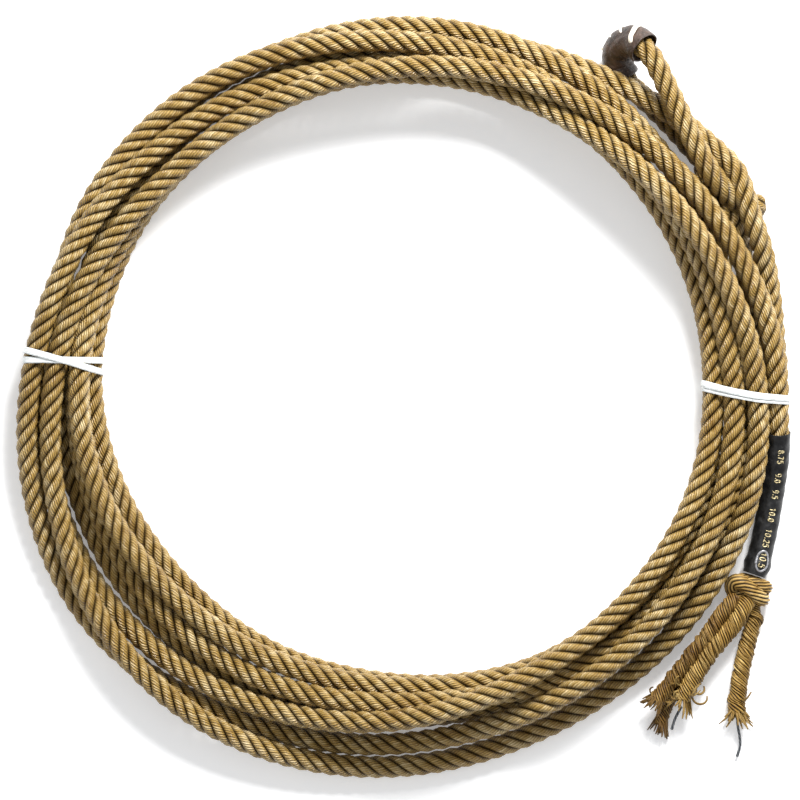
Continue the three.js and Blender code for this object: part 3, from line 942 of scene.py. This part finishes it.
def sleeve_material():
    """Satin black shrink tube with dusty scuffs."""
    m = Nodes("shrink_tube")
    m.shader.inputs["Specular IOR Level"].default_value = 0.3
    place = m.place()
    scuff = m.noise(place, 260.0, 4.0, 0.7)
    colour = m.ramp(scuff, [
        (0.35, (0.006, 0.006, 0.006)), (0.55, (0.014, 0.014, 0.014)), (0.72, (0.040, 0.040, 0.040)),
    ])
    height = m.plus(scuff, m.times(m.noise(place, 1800.0, 2.0), 0.2))
    return m.finish(colour, m.bump(height, 0.3 * MM, 0.5), m.between(scuff, 0.35, 0.65, 0.28, 0.5))


def ink_material(name, worn, full, metallic):
    """Foil print or pen on the sleeve, patchy where it has worn."""
    m = Nodes(name, 0.42)
    wear = m.noise(m.place(), 1300.0, 3.0, 0.6)
    m.shader.inputs["Metallic"].default_value = metallic
    return m.finish(m.ramp(wear, [(0.36, worn), (0.52, full)]), m.bump(wear, 0.1 * MM, 0.5))


def core_material():
    m = Nodes("core_yarn", 0.4)
    around, along = m.lay()
    twist = m.plus(m.times(around, 3.0), m.times(along, 420.0))
    wave = m.math("SINE", m.times(twist, 2 * math.pi))
    # painted shade and highlight: the colour follows the twist's relief, dark in its valleys and lighter on its crests
    colour = m.ramp(m.between(wave, -1.0, 1.0), [(0.1, (0.025, 0.028, 0.032)), (0.9, (0.12, 0.13, 0.14))])
    return m.finish(colour, m.bump(wave, 0.15 * MM, 0.8))


rope_look = rope_material()
knot_yarn = yarn_material("knot_yarn", (0.17, 0.085, 0.014), (0.46, 0.285, 0.080), (0.72, 0.52, 0.22))
light_yarn = yarn_material("light_yarn", (0.14, 0.066, 0.009), (0.41, 0.243, 0.055), (0.76, 0.54, 0.20))
# painted shadow: a darker copy of the light yarn, for the strand in the light strand's shadow and the strand beneath
# it
dark_yarn = yarn_material("dark_yarn", (0.075, 0.033, 0.004), (0.235, 0.125, 0.026), (0.52, 0.34, 0.11))
leather, rawhide = leather_material(), lace_material()
band_look, black_tube, core_look = band_material(), sleeve_material(), core_material()
gold_ink = ink_material("gold_ink", (0.10, 0.085, 0.05), (0.72, 0.60, 0.33), 0.55)
silver_ink = ink_material("silver_ink", (0.13, 0.13, 0.135), (0.36, 0.36, 0.375), 0.5)


def dress(piece, material, slot, body=None, replaced=()):
    piece.data.materials.append(material)
    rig.slot(piece, slot)
    if body:
        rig.ride(piece, body)
    if replaced:
        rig.replaces(piece, *replaced)
    return piece


# ---- the rope --------------------------------------------------------------------------------
coil_rope = dress(
    laid_rope("coil_rope", coil_line), rope_look, "rope", "coil",
    ("rope_coil", "threaded_turn", "bound_tail", "eye_knot"),
)
end_share = np.clip((end_line.along[-1] - end_line.along) / (0.5 * ROPE_R), 0, 1)
end_round = 0.6 + 0.4 * np.sqrt(1 - (1 - end_share) ** 2)
rope_end = dress(
    laid_rope("eye_end_rope", end_line, scale=end_round), rope_look, "rope", "coil",
    ("eye_rope_end",),
)

eye_rope = dress(laid_rope("eye_rope", eye_line), rope_look, "rope", None, ("rope_eye",))
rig.blend(eye_rope, "coil", "eye", start=(0.1465, 0.0993, 0.0188), end=(0.1388, 0.1115, 0.0250))

tail_rope = dress(laid_rope("tail_laid_rope", tail_line), rope_look, "rope", None, ("tail_rope",))
TAIL_BEND = 5.8 * MM  # the tail bends over this much rope on both sides of its hinge
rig.blend(
    tail_rope, "coil", "tail", start=(TAIL_HINGE[0], TAIL_HINGE[1] + TAIL_BEND, TAIL_HINGE[2]),
    end=(TAIL_HINGE[0], TAIL_HINGE[1] - TAIL_BEND, TAIL_HINGE[2]),
)


# ---- the ties --------------------------------------------------------------------------------
TIE_MIDDLE = (-4.2 * MM, 0.0, 154.7 * MM)  # middle x and y of the coil, and radius where it is tied
TIE_SPAN = 45 * MM  # rope that passes within so far of a tie's middle is tied
BAND_WIDTH, BAND_THICK = 3.0 * MM, 0.5 * MM
BAND_STEP = 0.5 * MM  # between the places on a band's outline
# Each wrap: azimuth and slant in degrees, how far it stands off the rope, and how far its top bows.
WRAPS = {
    "tie_left_lower_wrap": (173.1, 6.6, -0.3 * MM, 0.0),
    "tie_left_upper_wrap": (173.4, -9.6, 0.15 * MM, 0.4 * MM),
    "tie_right_lower_wrap": (1.4, -10.5, -0.3 * MM, -1.2 * MM),
    "tie_right_upper_wrap": (2.1, -12.0, 0.15 * MM, -1.4 * MM),
}


def hull(points):
    """The convex outline of points in a plane, anticlockwise."""
    points = sorted(map(tuple, points))
    chains = []
    for run in (points, points[::-1]):
        chain = []
        for p in run:
            while len(chain) > 1:
                (ax, ay), (bx, by) = chain[-2:]
                if (bx - ax) * (p[1] - ay) - (by - ay) * (p[0] - ax) > 0:
                    break
                chain.pop()
            chain.append(p)
        chains += chain[:-1]
    return np.array(chains)


def tie_outline(middle, across, off):
    """The outline round all the rope that the tie's upright plane cuts, as (across, up)."""
    rows = rope_line.rows
    normal = np.array([-across[1], across[0]])
    beside = (rows[:, :2] - middle) @ normal
    cut = np.nonzero(beside[:-1] * beside[1:] <= 0)[0]
    share = beside[cut] / (beside[cut] - beside[cut + 1])
    places = rows[cut] + share[:, None] * (rows[cut + 1] - rows[cut])
    reach = (places[:, :2] - middle) @ across
    near = np.abs(reach) < TIE_SPAN
    turn = np.arange(36) / 36 * 2 * math.pi
    circle = np.stack([np.cos(turn), np.sin(turn)], axis=1) * (ROPE_R + off)
    circles = [circle + (x, z) for x, z in zip(reach[near], places[near, 2])]
    outline = hull(np.concatenate(circles))
    outline = np.vstack([outline, outline[:1]])
    rows = evenly(np.column_stack([outline, np.zeros(len(outline))]), BAND_STEP)[:-1, :2]
    for again in range(6):
        rows = (np.roll(rows, 1, 0) + 2 * rows + np.roll(rows, -1, 0)) / 4
    return rows


def band_wrap(name, azimuth, slant, off, bow):
    """A flat band round the rope, its edges rounded, as one closed loop."""
    angle, heading = math.radians(azimuth), math.radians(azimuth + slant)
    middle = np.array([TIE_MIDDLE[0] + TIE_MIDDLE[2] * math.cos(angle), TIE_MIDDLE[2] * math.sin(angle)])
    across = np.array([math.cos(heading), math.sin(heading)])
    outline = tie_outline(middle, across, off + BAND_THICK / 2)
    ahead = np.roll(outline, -1, 0) - np.roll(outline, 1, 0)
    ahead /= np.linalg.norm(ahead, axis=1)[:, None]
    out = np.column_stack([ahead[:, 1], -ahead[:, 0]])
    normal = np.array([-across[1], across[0], 0.0])
    top = outline[:, 1].max()
    half = (outline[:, 0].max() - outline[:, 0].min()) / 2
    centre = (outline[:, 0].max() + outline[:, 0].min()) / 2
    share = np.clip(1 - ((outline[:, 0] - centre) / half) ** 2, 0, 1)
    shift = bow * share * (outline[:, 1] / top) * math.copysign(1, across[0])
    ripple = wobble(name)(np.arange(len(outline)) * 0.11) * 0.12 * MM
    corners = [
        (-1, 0.45), (-0.94, 1), (-0.5, 1.1), (0, 1.12), (0.5, 1.1), (0.94, 1), (1, 0.45),
        (1, -0.45), (0.94, -1), (0, -1.0), (-0.94, -1), (-1, -0.45),
    ]
    rings = []
    for (x, z), (ox, oz), aside, lift in zip(outline, out, shift, ripple):
        base = np.array([*(middle + across * x), z])
        outward = np.array([*(across * ox), oz])
        ring = [
            base + normal * (u * (BAND_WIDTH / 2 + lift) + aside) + outward * v * BAND_THICK / 2
            for u, v in corners
        ]
        rings.append(np.array(ring[::-1]))
    piece = rings_object(name, rings)
    mapped(piece, len(corners), BAND_STEP)
    return piece


for wrap_name, (azimuth, slant, off, bow) in WRAPS.items():
    wrap = band_wrap(wrap_name + "_band", azimuth, slant, off, bow)
    dress(wrap, band_look, "tie_band", "coil", (wrap_name,))


# ---- the eye's burner and its lacing -----------------------------------------------------------
BURNER_FROM, BURNER_TO = 0.400, 0.588  # shares of the eye's length, from its lower leg
BURNER_R = 7.3 * MM
EYE_ROUND_MIDDLE = np.array([0.111, 0.154, 0.016])  # what the eye's round end goes round


def eye_share(share):
    """A row number of the eye's line at a share of its length."""
    return int(np.searchsorted(eye_line.along, eye_line.along[0] + share * eye_line.length()))


burner_line = Line(evenly(eye_line.rows[eye_share(BURNER_FROM):eye_share(BURNER_TO)], ROW_STEP))
fold, crease, dent = wobble(3, 3), wobble(7, 4), wobble(11, 3)


def burner_radius(share, angle):
    """Thick leather, pulled together in folds by its lacing, wider at its mouths."""
    flare = 0.08 * np.exp(-(((share - 1.0) / 0.14) ** 2)) + 0.03 * np.exp(-((share / 0.12) ** 2))
    folds = 0.045 * fold(13 * share + 1.5 * np.sin(angle)) + 0.02 * crease(3 * np.cos(angle) + 5 * share)
    wave = 0.035 * dent(3 * np.sin(angle) - 7 * share)
    return BURNER_R * (1 + flare + folds + wave)


def burner_bore(share):
    return ROPE_R + 0.5 * MM + 1.3 * MM * math.exp(-(((1 - share) / 0.14) ** 2))


burner = shell("burner_shell", burner_line, burner_radius, burner_bore, 72)
dress(above_ground(burner), leather, "burner_leather", "eye", ("eye_burner",))

LACES = 5
LACE_ARC = math.radians(64)  # half the way that the first stitch goes round the burner
LACE_LEAN = 6.5 * MM  # how far along the burner a stitch runs
FIRST_WIDTH, LACE_WIDTH, LACE_THICK = 1.3 * MM, 0.7 * MM, 0.5 * MM  # half sizes
SHORT_ARC = 0.6  # the other stitches' share of the first one's arc


def lace_stitch(number):
    """One stitch of flat lace over the burner's outside, its ends pulled into the leather."""
    share = 0.86 - (0.72 * number) / (LACES - 1)
    row = int(share * (len(burner_line.rows) - 1))
    middle, along = burner_line.rows[row], burner_line.ahead[row]
    out = middle - EYE_ROUND_MIDDLE
    out = out - along * out.dot(along)
    out /= np.linalg.norm(out)
    side = np.cross(along, out)
    width = FIRST_WIDTH if number == 0 else LACE_WIDTH
    reach_round = LACE_ARC * (1 if number == 0 else SHORT_ARC)
    rings = []
    for turn in np.linspace(-1, 1, 25):
        angle = reach_round * turn
        outward = out * math.cos(angle) + side * math.sin(angle)
        lean = along * LACE_LEAN * turn / 2
        spin = math.atan2(outward.dot(burner_line.up[row]), outward.dot(burner_line.side[row]))
        place = share + LACE_LEAN * turn / 2 / burner_line.length()
        sunk = 1.8 * MM * abs(turn) ** 6
        reach = burner_radius(place, np.array([spin]))[0] + 0.25 * MM - sunk
        rings.append((middle + lean + outward * reach, outward))
    line = Line(np.array([place for place, _ in rings]))
    parts = []
    for (place, outward), ahead in zip(rings, line.ahead):
        across = np.cross(ahead, outward)
        parts.append(np.array([
            place + across * width * math.cos(t) + outward * LACE_THICK * math.sin(t)
            for t in np.arange(12) / 12 * 2 * math.pi
        ]))
    return rings_object(f"burner_lace_{number + 1}_stitch", parts, looped=False)


laces = [
    dress(above_ground(lace_stitch(i)), rawhide, "burner_lace", "eye", (f"burner_lace_{i + 1}",))
    for i in range(LACES)
]

# ---- the size sleeve and its numerals ------------------------------------------------------------
SLEEVE_R = 5.75 * MM
SLEEVE_TOP = 0.80  # share of the tail's length where the sleeve's upper end is
tail_share = (tail_line.along - tail_line.along[0]) / tail_line.length()
sleeve_rows = tail_line.rows[tail_share <= SLEEVE_TOP]
beyond = sleeve_rows[0] + (sleeve_rows[0] - sleeve_rows[1]) * 0.8
sleeve_line = Line(evenly(np.vstack([beyond, sleeve_rows]), ROW_STEP))
strand_wave, squeeze = wobble(21, 3), wobble(23, 3)


def sleeve_radius(share, angle):
    """Shrunk on tight: the rope's lay shows a little, and its lower end bells out over the knot."""
    along = share * sleeve_line.length()
    lay = 0.014 * np.sin(4 * (angle - along / ROPE_LAY * 2 * math.pi))
    bell = 0.135 * np.exp(-(((share - 0.075) / 0.045) ** 2)) - 0.03 * np.exp(-((share / 0.02) ** 2))
    creased = 0.020 * strand_wave(8 * share + 0.8 * np.sin(angle))
    creased = creased + 0.012 * squeeze(3 * np.cos(angle) + 9 * share)
    return SLEEVE_R * (1 + lay + bell + creased)


sleeve = shell("sleeve_shell", sleeve_line, sleeve_radius, lambda share: ROPE_R + 0.1 * MM, 72)
dress(above_ground(sleeve), black_tube, "size_sleeve", "tail", ("size_sleeve",))

# The sizes on the sleeve, each with its middle's y in millimetres.
NUMERALS = [
    ("8.75", -25.1), ("9.0", -34.8), ("9.5", -43.3), ("10.0", -53.2), ("10.25", -64.5),
    ("10.5", -75.0),
]
NUMERAL_ASIDE = 1.4 * MM  # how far right of the sleeve's ridge the numerals stand
DIGIT_HIGH, DIGIT_WIDE, DIGIT_STEP, POINT_STEP = 2.75 * MM, 1.5 * MM, 2.05 * MM, 1.0 * MM
STROKE_R = 0.3 * MM


def arc(x, y, wide, high, start, stop, steps=14):
    turns = np.radians(np.linspace(start, stop, steps))
    return [(x + wide * math.cos(t), y + high * math.sin(t)) for t in turns]


# Strokes of each sign in a box one wide and one high.
SIGNS = {
    "0": [arc(0.5, 0.5, 0.42, 0.5, 0, 360)],
    "1": [[(0.2, 0.78), (0.55, 1.0), (0.55, 0.5), (0.55, 0.0)]],
    "2": [arc(0.5, 0.7, 0.4, 0.3, 170, -35) + [(0.1, 0.0)], [(0.1, 0.0), (0.5, 0.0), (0.95, 0.0)]],
    "5": [
        [(0.88, 1.0), (0.5, 1.0), (0.2, 1.0)],
        [(0.2, 1.0), (0.14, 0.54)] + arc(0.46, 0.32, 0.44, 0.32, 120, -150),
    ],
    "7": [[(0.08, 1.0), (0.5, 1.0), (0.92, 1.0)], [(0.92, 1.0), (0.6, 0.5), (0.36, 0.0)]],
    "8": [arc(0.5, 0.75, 0.33, 0.25, 0, 360), arc(0.5, 0.26, 0.42, 0.26, 0, 360)],
    "9": [arc(0.5, 0.68, 0.4, 0.32, 0, 360), [(0.9, 0.68), (0.84, 0.32), (0.62, 0.06), (0.28, 0.02)]],
}


def on_sleeve(down, right, sunk=0.10 * MM):
    """A point on the sleeve: down is metres along it from its upper end, right is metres round
    from its uppermost line."""
    share = 1 - down / sleeve_line.length()
    row = int(np.clip(share * (len(sleeve_line.rows) - 1), 0, len(sleeve_line.rows) - 1))
    spare = share * (len(sleeve_line.rows) - 1) - row
    ahead = sleeve_line.ahead[row]
    centre = sleeve_line.rows[row] + ahead * spare * ROW_STEP
    up = np.array([0, 0, 1.0]) - ahead * ahead[2]
    up /= np.linalg.norm(up)
    aside = np.cross(up, ahead)
    turn = right / SLEEVE_R
    outward = up * math.cos(turn) - aside * math.sin(turn)
    spin = math.atan2(outward.dot(sleeve_line.up[row]), outward.dot(sleeve_line.side[row]))
    return centre + outward * (sleeve_radius(share, np.array([spin]))[0] - sunk)


def down_at(y):
    """How far down the sleeve a place is, from its y."""
    row = int(np.argmin(np.abs(sleeve_line.rows[:, 1] - y)))
    return sleeve_line.length() - (sleeve_line.along[row] - sleeve_line.along[0])


def numeral(text, y):
    """The strokes of one number, read down the sleeve with its tops to the right."""
    steps = [POINT_STEP if sign == "." else DIGIT_STEP for sign in text]
    start = down_at(y * MM) - sum(steps) / 2
    tubes = []
    for sign, step in zip(text, steps):
        if sign == ".":
            low = NUMERAL_ASIDE - DIGIT_HIGH / 2 + 0.2 * MM
            dot = [on_sleeve(start + d * MM, low) for d in (0.1, 0.3, 0.5)]
            tubes.append(round_tube(dot, STROKE_R * 1.2, 8, 0.1 * MM))
        else:
            for stroke in SIGNS[sign]:
                points = [
                    on_sleeve(start + x * DIGIT_WIDE, NUMERAL_ASIDE + (h - 0.5) * DIGIT_HIGH)
                    for x, h in stroke
                ]
                tubes.append(round_tube(points, STROKE_R, 8, 0.15 * MM))
        start += step
    return tubes


numeral_tubes = [tube for text, y in NUMERALS for tube in numeral(text, y)]
numerals = dress(piece_from("sleeve_numerals", numeral_tubes), gold_ink, "size_sleeve", "tail")

RING_LONG, RING_WIDE = 4.7 * MM, 2.8 * MM  # half sizes of the pen's oval
PEN_R, PEN_SUNK = 0.72 * MM, 0.5 * MM


def pen_ring():
    """The oval that a silver pen drew round the last number, a little more than once."""
    middle = down_at(NUMERALS[-1][1] * MM)
    loop = wobble(31, 3)
    points = []
    for turn in np.linspace(0, 1.12, 46):
        angle = 2 * math.pi * turn - 1.9
        size = 1 + 0.05 * loop(angle * 2)
        points.append(on_sleeve(
            middle + RING_LONG * size * math.cos(angle),
            NUMERAL_ASIDE + RING_WIDE * size * math.sin(angle), PEN_SUNK,
        ))
    return piece_from("pen_ring", [round_tube(points, PEN_R, 10, 0.3 * MM)])


ring_mark = dress(pen_ring(), silver_ink, "size_sleeve", "tail")

# ---- the tail's knot and loosened strands ----------------------------------------------------------
YARN_SECTION = [(0.0, 0.70), (0.22, 0.92), (0.5, 1.0), (0.78, 0.92)]  # one yarn: share, size


def yarn_tube(points, radius, lay, seed, lumps=0.06, sizes=(1.0, 1.0)):
    """A strand of twisted yarns through points, a little lumpy; it stays above the ground."""
    line = Line(spline(points, ROW_STEP))
    shares = np.linspace(0, 1, len(line.rows))
    swell, drift = wobble(seed, 4), wobble(seed + 1, 3)
    scale = np.interp(shares, np.linspace(0, 1, len(sizes)), sizes)
    scale = scale * (1 + lumps * swell(line.along / (5.5 * MM)))
    scale[:4] *= (0.55, 0.8, 0.92, 0.98)
    scale[-4:] *= (0.98, 0.92, 0.8, 0.5)
    rows = line.rows + line.side * (drift(line.along / (9 * MM)) * lumps * 4 * MM)[:, None]
    rows[:, 2] = np.maximum(rows[:, 2], radius * scale + 0.1 * MM)
    line = Line(rows)
    angles, radii, looseness = [], [], []
    for yarn in range(YARNS):
        slack = wobble(seed + 50 + yarn, 4)(line.along / (4 * MM)) * lumps * 1.5
        for share, size in YARN_SECTION:
            angles.append((yarn + share) / YARNS * 2 * math.pi)
            radii.append(size * radius)
            looseness.append(1 + slack * math.sin(math.pi * share))
    return Tube(line, radii, angles, lay, scale, np.array(looseness).T), line


def points_of(rows):
    return [(x * MM, y * MM, z * MM) for x, y, z in rows]


KNOT_LAY = -30 * MM
# Each wrap of the tail's knot: radius and route, in millimetres.
KNOT_WRAPS = [
    (3.55, [(160.0, -91.2, 3.9), (155.5, -90.2, 4.0), (152.9, -87.4, 6.6), (154.7, -84.9, 9.4),
            (158.6, -86.2, 10.3), (162.4, -89.2, 10.2), (165.9, -92.1, 8.9), (167.5, -93.4, 6.0),
            (165.4, -92.8, 3.8), (160.5, -90.2, 3.7)]),
    (2.95, [(155.5, -84.6, 4.0), (158.6, -83.9, 6.6), (162.6, -84.9, 8.3), (166.7, -86.6, 8.2),
            (169.3, -87.7, 6.2), (168.2, -88.9, 3.6), (163.4, -88.6, 3.2)]),
    (3.1, [(163.0, -86.0, 3.4), (156.4, -84.8, 3.5), (152.7, -87.6, 4.4), (153.9, -90.8, 5.6),
           (157.5, -92.0, 6.4), (161.6, -92.6, 6.2), (165.0, -91.4, 4.4), (163.0, -88.2, 3.4)]),
    (4.2, [(156.0, -87.6, 5.2), (160.6, -88.6, 5.8), (165.4, -89.4, 5.0)]),
]


def tail_knot():
    tubes = [
        yarn_tube(points_of(rows), radius * MM, KNOT_LAY, 40 + 3 * i, 0.03)[0]
        for i, (radius, rows) in enumerate(KNOT_WRAPS)
    ]
    return piece_from("tail_strand_knot", tubes)


knot = dress(tail_knot(), knot_yarn, "strand_yarn", "tail", ("tail_knot",))

STRAND_LAY = -13.2 * MM  # the yarns of a loose strand turn left-handed
FRAY_R = 0.5 * MM
FRAY_STEPS = 7  # steps along a loose yarn
LOOP_TURN = 4.4  # how far a looped yarn curls, in radians
# Each strand: radius, sizes along it, look, route, and its fray: yarns, length, spread, loops.
STRAND_ROUTES = {
    # painted shadow: strand_under and strand_dark take the yarn darkened as shadow
    "strand_under": (3.1, (1, 1, 1, 0.9), dark_yarn, [
        (155.2, -92.6, 4.2), (150.6, -98.2, 3.2), (146.0, -107.6, 3.2), (140.4, -116.4, 3.2),
        (133.8, -125.2, 3.2), (127.0, -135.2, 3.2), (122.2, -143.8, 3.2), (119.4, -152.6, 2.9),
    ], (30, 7.0, 0.30, 0)),
    "strand_dark": (3.8, (1.0, 1.04, 1.0, 0.96, 0.98), dark_yarn, [
        (155.0, -91.6, 8.4), (150.6, -97.4, 10.5), (146.2, -103.6, 10.6), (139.5, -112.9, 10.6),
        (132.8, -120.7, 10.6), (127.3, -127.9, 10.6), (122.6, -134.2, 10.5), (116.9, -141.4, 10.3),
    ], (34, 6.5, 0.35, 2)),
    "strand_light": (4.0, (1.1, 1.0, 0.98, 1.0, 1.12), light_yarn, [
        (160.0, -92.6, 7.2), (156.8, -100.0, 10.5), (151.8, -107.0, 11.2), (145.8, -113.9, 11.4),
        (140.2, -121.1, 11.2), (136.0, -128.3, 10.8), (132.4, -135.0, 10.2), (129.8, -140.6, 9.4),
    ], (26, 8.0, 0.5, 18)),
    "strand_right": (3.6, (0.95, 0.95, 1.02, 1.14, 1.18, 1.24), light_yarn, [
        (161.8, -91.6, 4.6), (163.8, -99.2, 4.2), (163.6, -103.6, 4.0), (161.6, -109.2, 4.0),
        (159.8, -116.0, 4.0), (158.2, -124.4, 4.1), (156.4, -134.2, 4.2), (155.4, -143.0, 4.3),
        (155.4, -147.2, 4.2),
    ], (38, 7.5, 0.7, 3)),
}


def fray(line, radius, count, length, spread, loops, seed):
    """Loose yarns at a strand's end: some fan out, some curl over and back as loops."""
    dice = random.Random(seed)
    tubes = []
    for i in range(count + loops):
        looped = i >= count
        row = len(line.rows) - 1 - dice.randint(1, 22 if looped else 7)
        angle = dice.uniform(0, 2 * math.pi)
        outward = line.side[row] * math.cos(angle) + line.up[row] * math.sin(angle)
        round_way = line.side[row] * math.sin(angle) - line.up[row] * math.cos(angle)
        ahead = line.ahead[row]
        at = line.rows[row] + outward * radius * dice.uniform(0.55, 0.9)
        reach = length * dice.uniform(0.55, 1.15)
        heading = ahead * 0.75 + round_way * 0.55 + outward * 0.2
        curl = np.array([dice.uniform(-1, 1), dice.uniform(-1, 1), dice.uniform(-0.7, 0.5)])
        points = [at - heading * 1.2 * MM]
        for step in range(FRAY_STEPS + 1):
            points.append(at.copy())
            turn = LOOP_TURN * (step / FRAY_STEPS)
            if looped:
                turn = ahead * math.cos(turn) + outward * math.sin(turn) * 1.1
                heading = turn + round_way * 0.35 + curl * 0.25
            else:
                heading = heading + outward * spread * 0.30 + ahead * 0.25 + curl * 0.16 * spread
            heading = heading / np.linalg.norm(heading)
            at = at + heading * reach / FRAY_STEPS * (1.5 if looped else 1.0)
            at[2] = max(at[2], 0.6 * MM)
        taper = (0.9, 1, 1, 1, 0.8) if looped else (0.9, 1, 1, 0.95, 0.55)
        tubes.append(round_tube(points, FRAY_R * dice.uniform(0.75, 1.15), 6, 0.7 * MM, taper))
    return tubes


def loose_yarns(line, radius, count, seed):
    """Slack yarns that lie on a strand for a turn or so, twisted a little more than its own."""
    dice = random.Random(seed)
    tubes = []
    for i in range(count):
        first = dice.randint(8, max(9, len(line.rows) - 40))
        length = dice.randint(16, 34)
        angle, stand = dice.uniform(0, 2 * math.pi), dice.uniform(0.08, 0.5) * MM
        points = []
        for step in range(0, length, 2):
            row = min(first + step, len(line.rows) - 2)
            share = step / length
            at = angle + (line.along[row] / STRAND_LAY) * 2 * math.pi * 1.12
            reach = radius * 0.93 + stand * math.sin(math.pi * share)
            place = line.rows[row] + reach * (line.side[row] * math.cos(at) + line.up[row] * math.sin(at))
            points.append((place[0], place[1], max(place[2], 0.5 * MM)))
        tubes.append(round_tube(points, FRAY_R * dice.uniform(0.85, 1.2), 6, 0.7 * MM, (0.5, 1, 1, 0.5)))
    return tubes


SLACK_YARNS = 26  # loose yarns that lie on each strand
strands = []
for number, (node, (radius, sizes, look, rows, frayed)) in enumerate(STRAND_ROUTES.items()):
    radius *= MM
    body_tube, strand_line = yarn_tube(
        points_of(rows), radius, STRAND_LAY, 60 + 7 * number, 0.10, sizes
    )
    count, length, spread, loops = frayed
    loose = fray(strand_line, radius, count, length * MM, spread, loops, 90 + number)
    slack = loose_yarns(strand_line, radius, SLACK_YARNS, 130 + number)
    piece = piece_from(node + "_yarns", [body_tube, *loose, *slack])
    strands.append(dress(above_ground(piece), look, "strand_yarn", node, (node,)))

CORE_R = 0.65 * MM
CORES = {
    "core_thread_light": [
        (129.4, -143.4, 9.4), (127.4, -146.8, 9.4), (126.0, -150.0, 8.6), (124.8, -154.2, 7.6),
    ],
    "core_thread_right": [
        (155.4, -148.6, 3.8), (156.2, -154.2, 3.0), (156.9, -158.0, 2.6), (157.1, -162.4, 2.0),
        (155.7, -167.3, 1.4),
    ],
}
cores = []
for node, rows in CORES.items():
    tube = round_tube(points_of(rows), CORE_R, 10, 0.5 * MM, (0.8, 1, 1, 0.95, 1.1))
    thread = piece_from(node + "_yarn", [tube])
    cores.append(dress(thread, core_look, "core_thread", node.replace("core_thread", "strand"), (node,)))

# ---- what the rope is, as cords ---------------------------------------------------------------
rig.cord(
    coil_rope, exit=coil_line.rows[0], length=coil_line.length(), diameter=ROPE_D, far_end="knot",
    stiffness="stiff", lay="coiled", path=coil_line.rows[::3].tolist() + [coil_line.rows[-1].tolist()],
    with_pieces=[rope_end],
)
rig.cord(
    eye_rope, exit=eye_line.rows[0], length=eye_line.length(), diameter=ROPE_D, far_end="object",
    stiffness="stiff", lay="loose", path=eye_line.rows.tolist(), with_pieces=[burner, *laces],
)
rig.cord(
    tail_rope, exit=tail_line.rows[-1], length=tail_line.length(), diameter=ROPE_D, far_end="knot",
    stiffness="stiff", lay="loose", path=tail_line.rows.tolist(),
    with_pieces=[sleeve, numerals, ring_mark, knot, *strands, *cores],
)

visual_box = [list(corner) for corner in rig.bounds()]
with open("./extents.json", "w") as file:
    json.dump({"cad": cad_box, "visual": visual_box}, file)
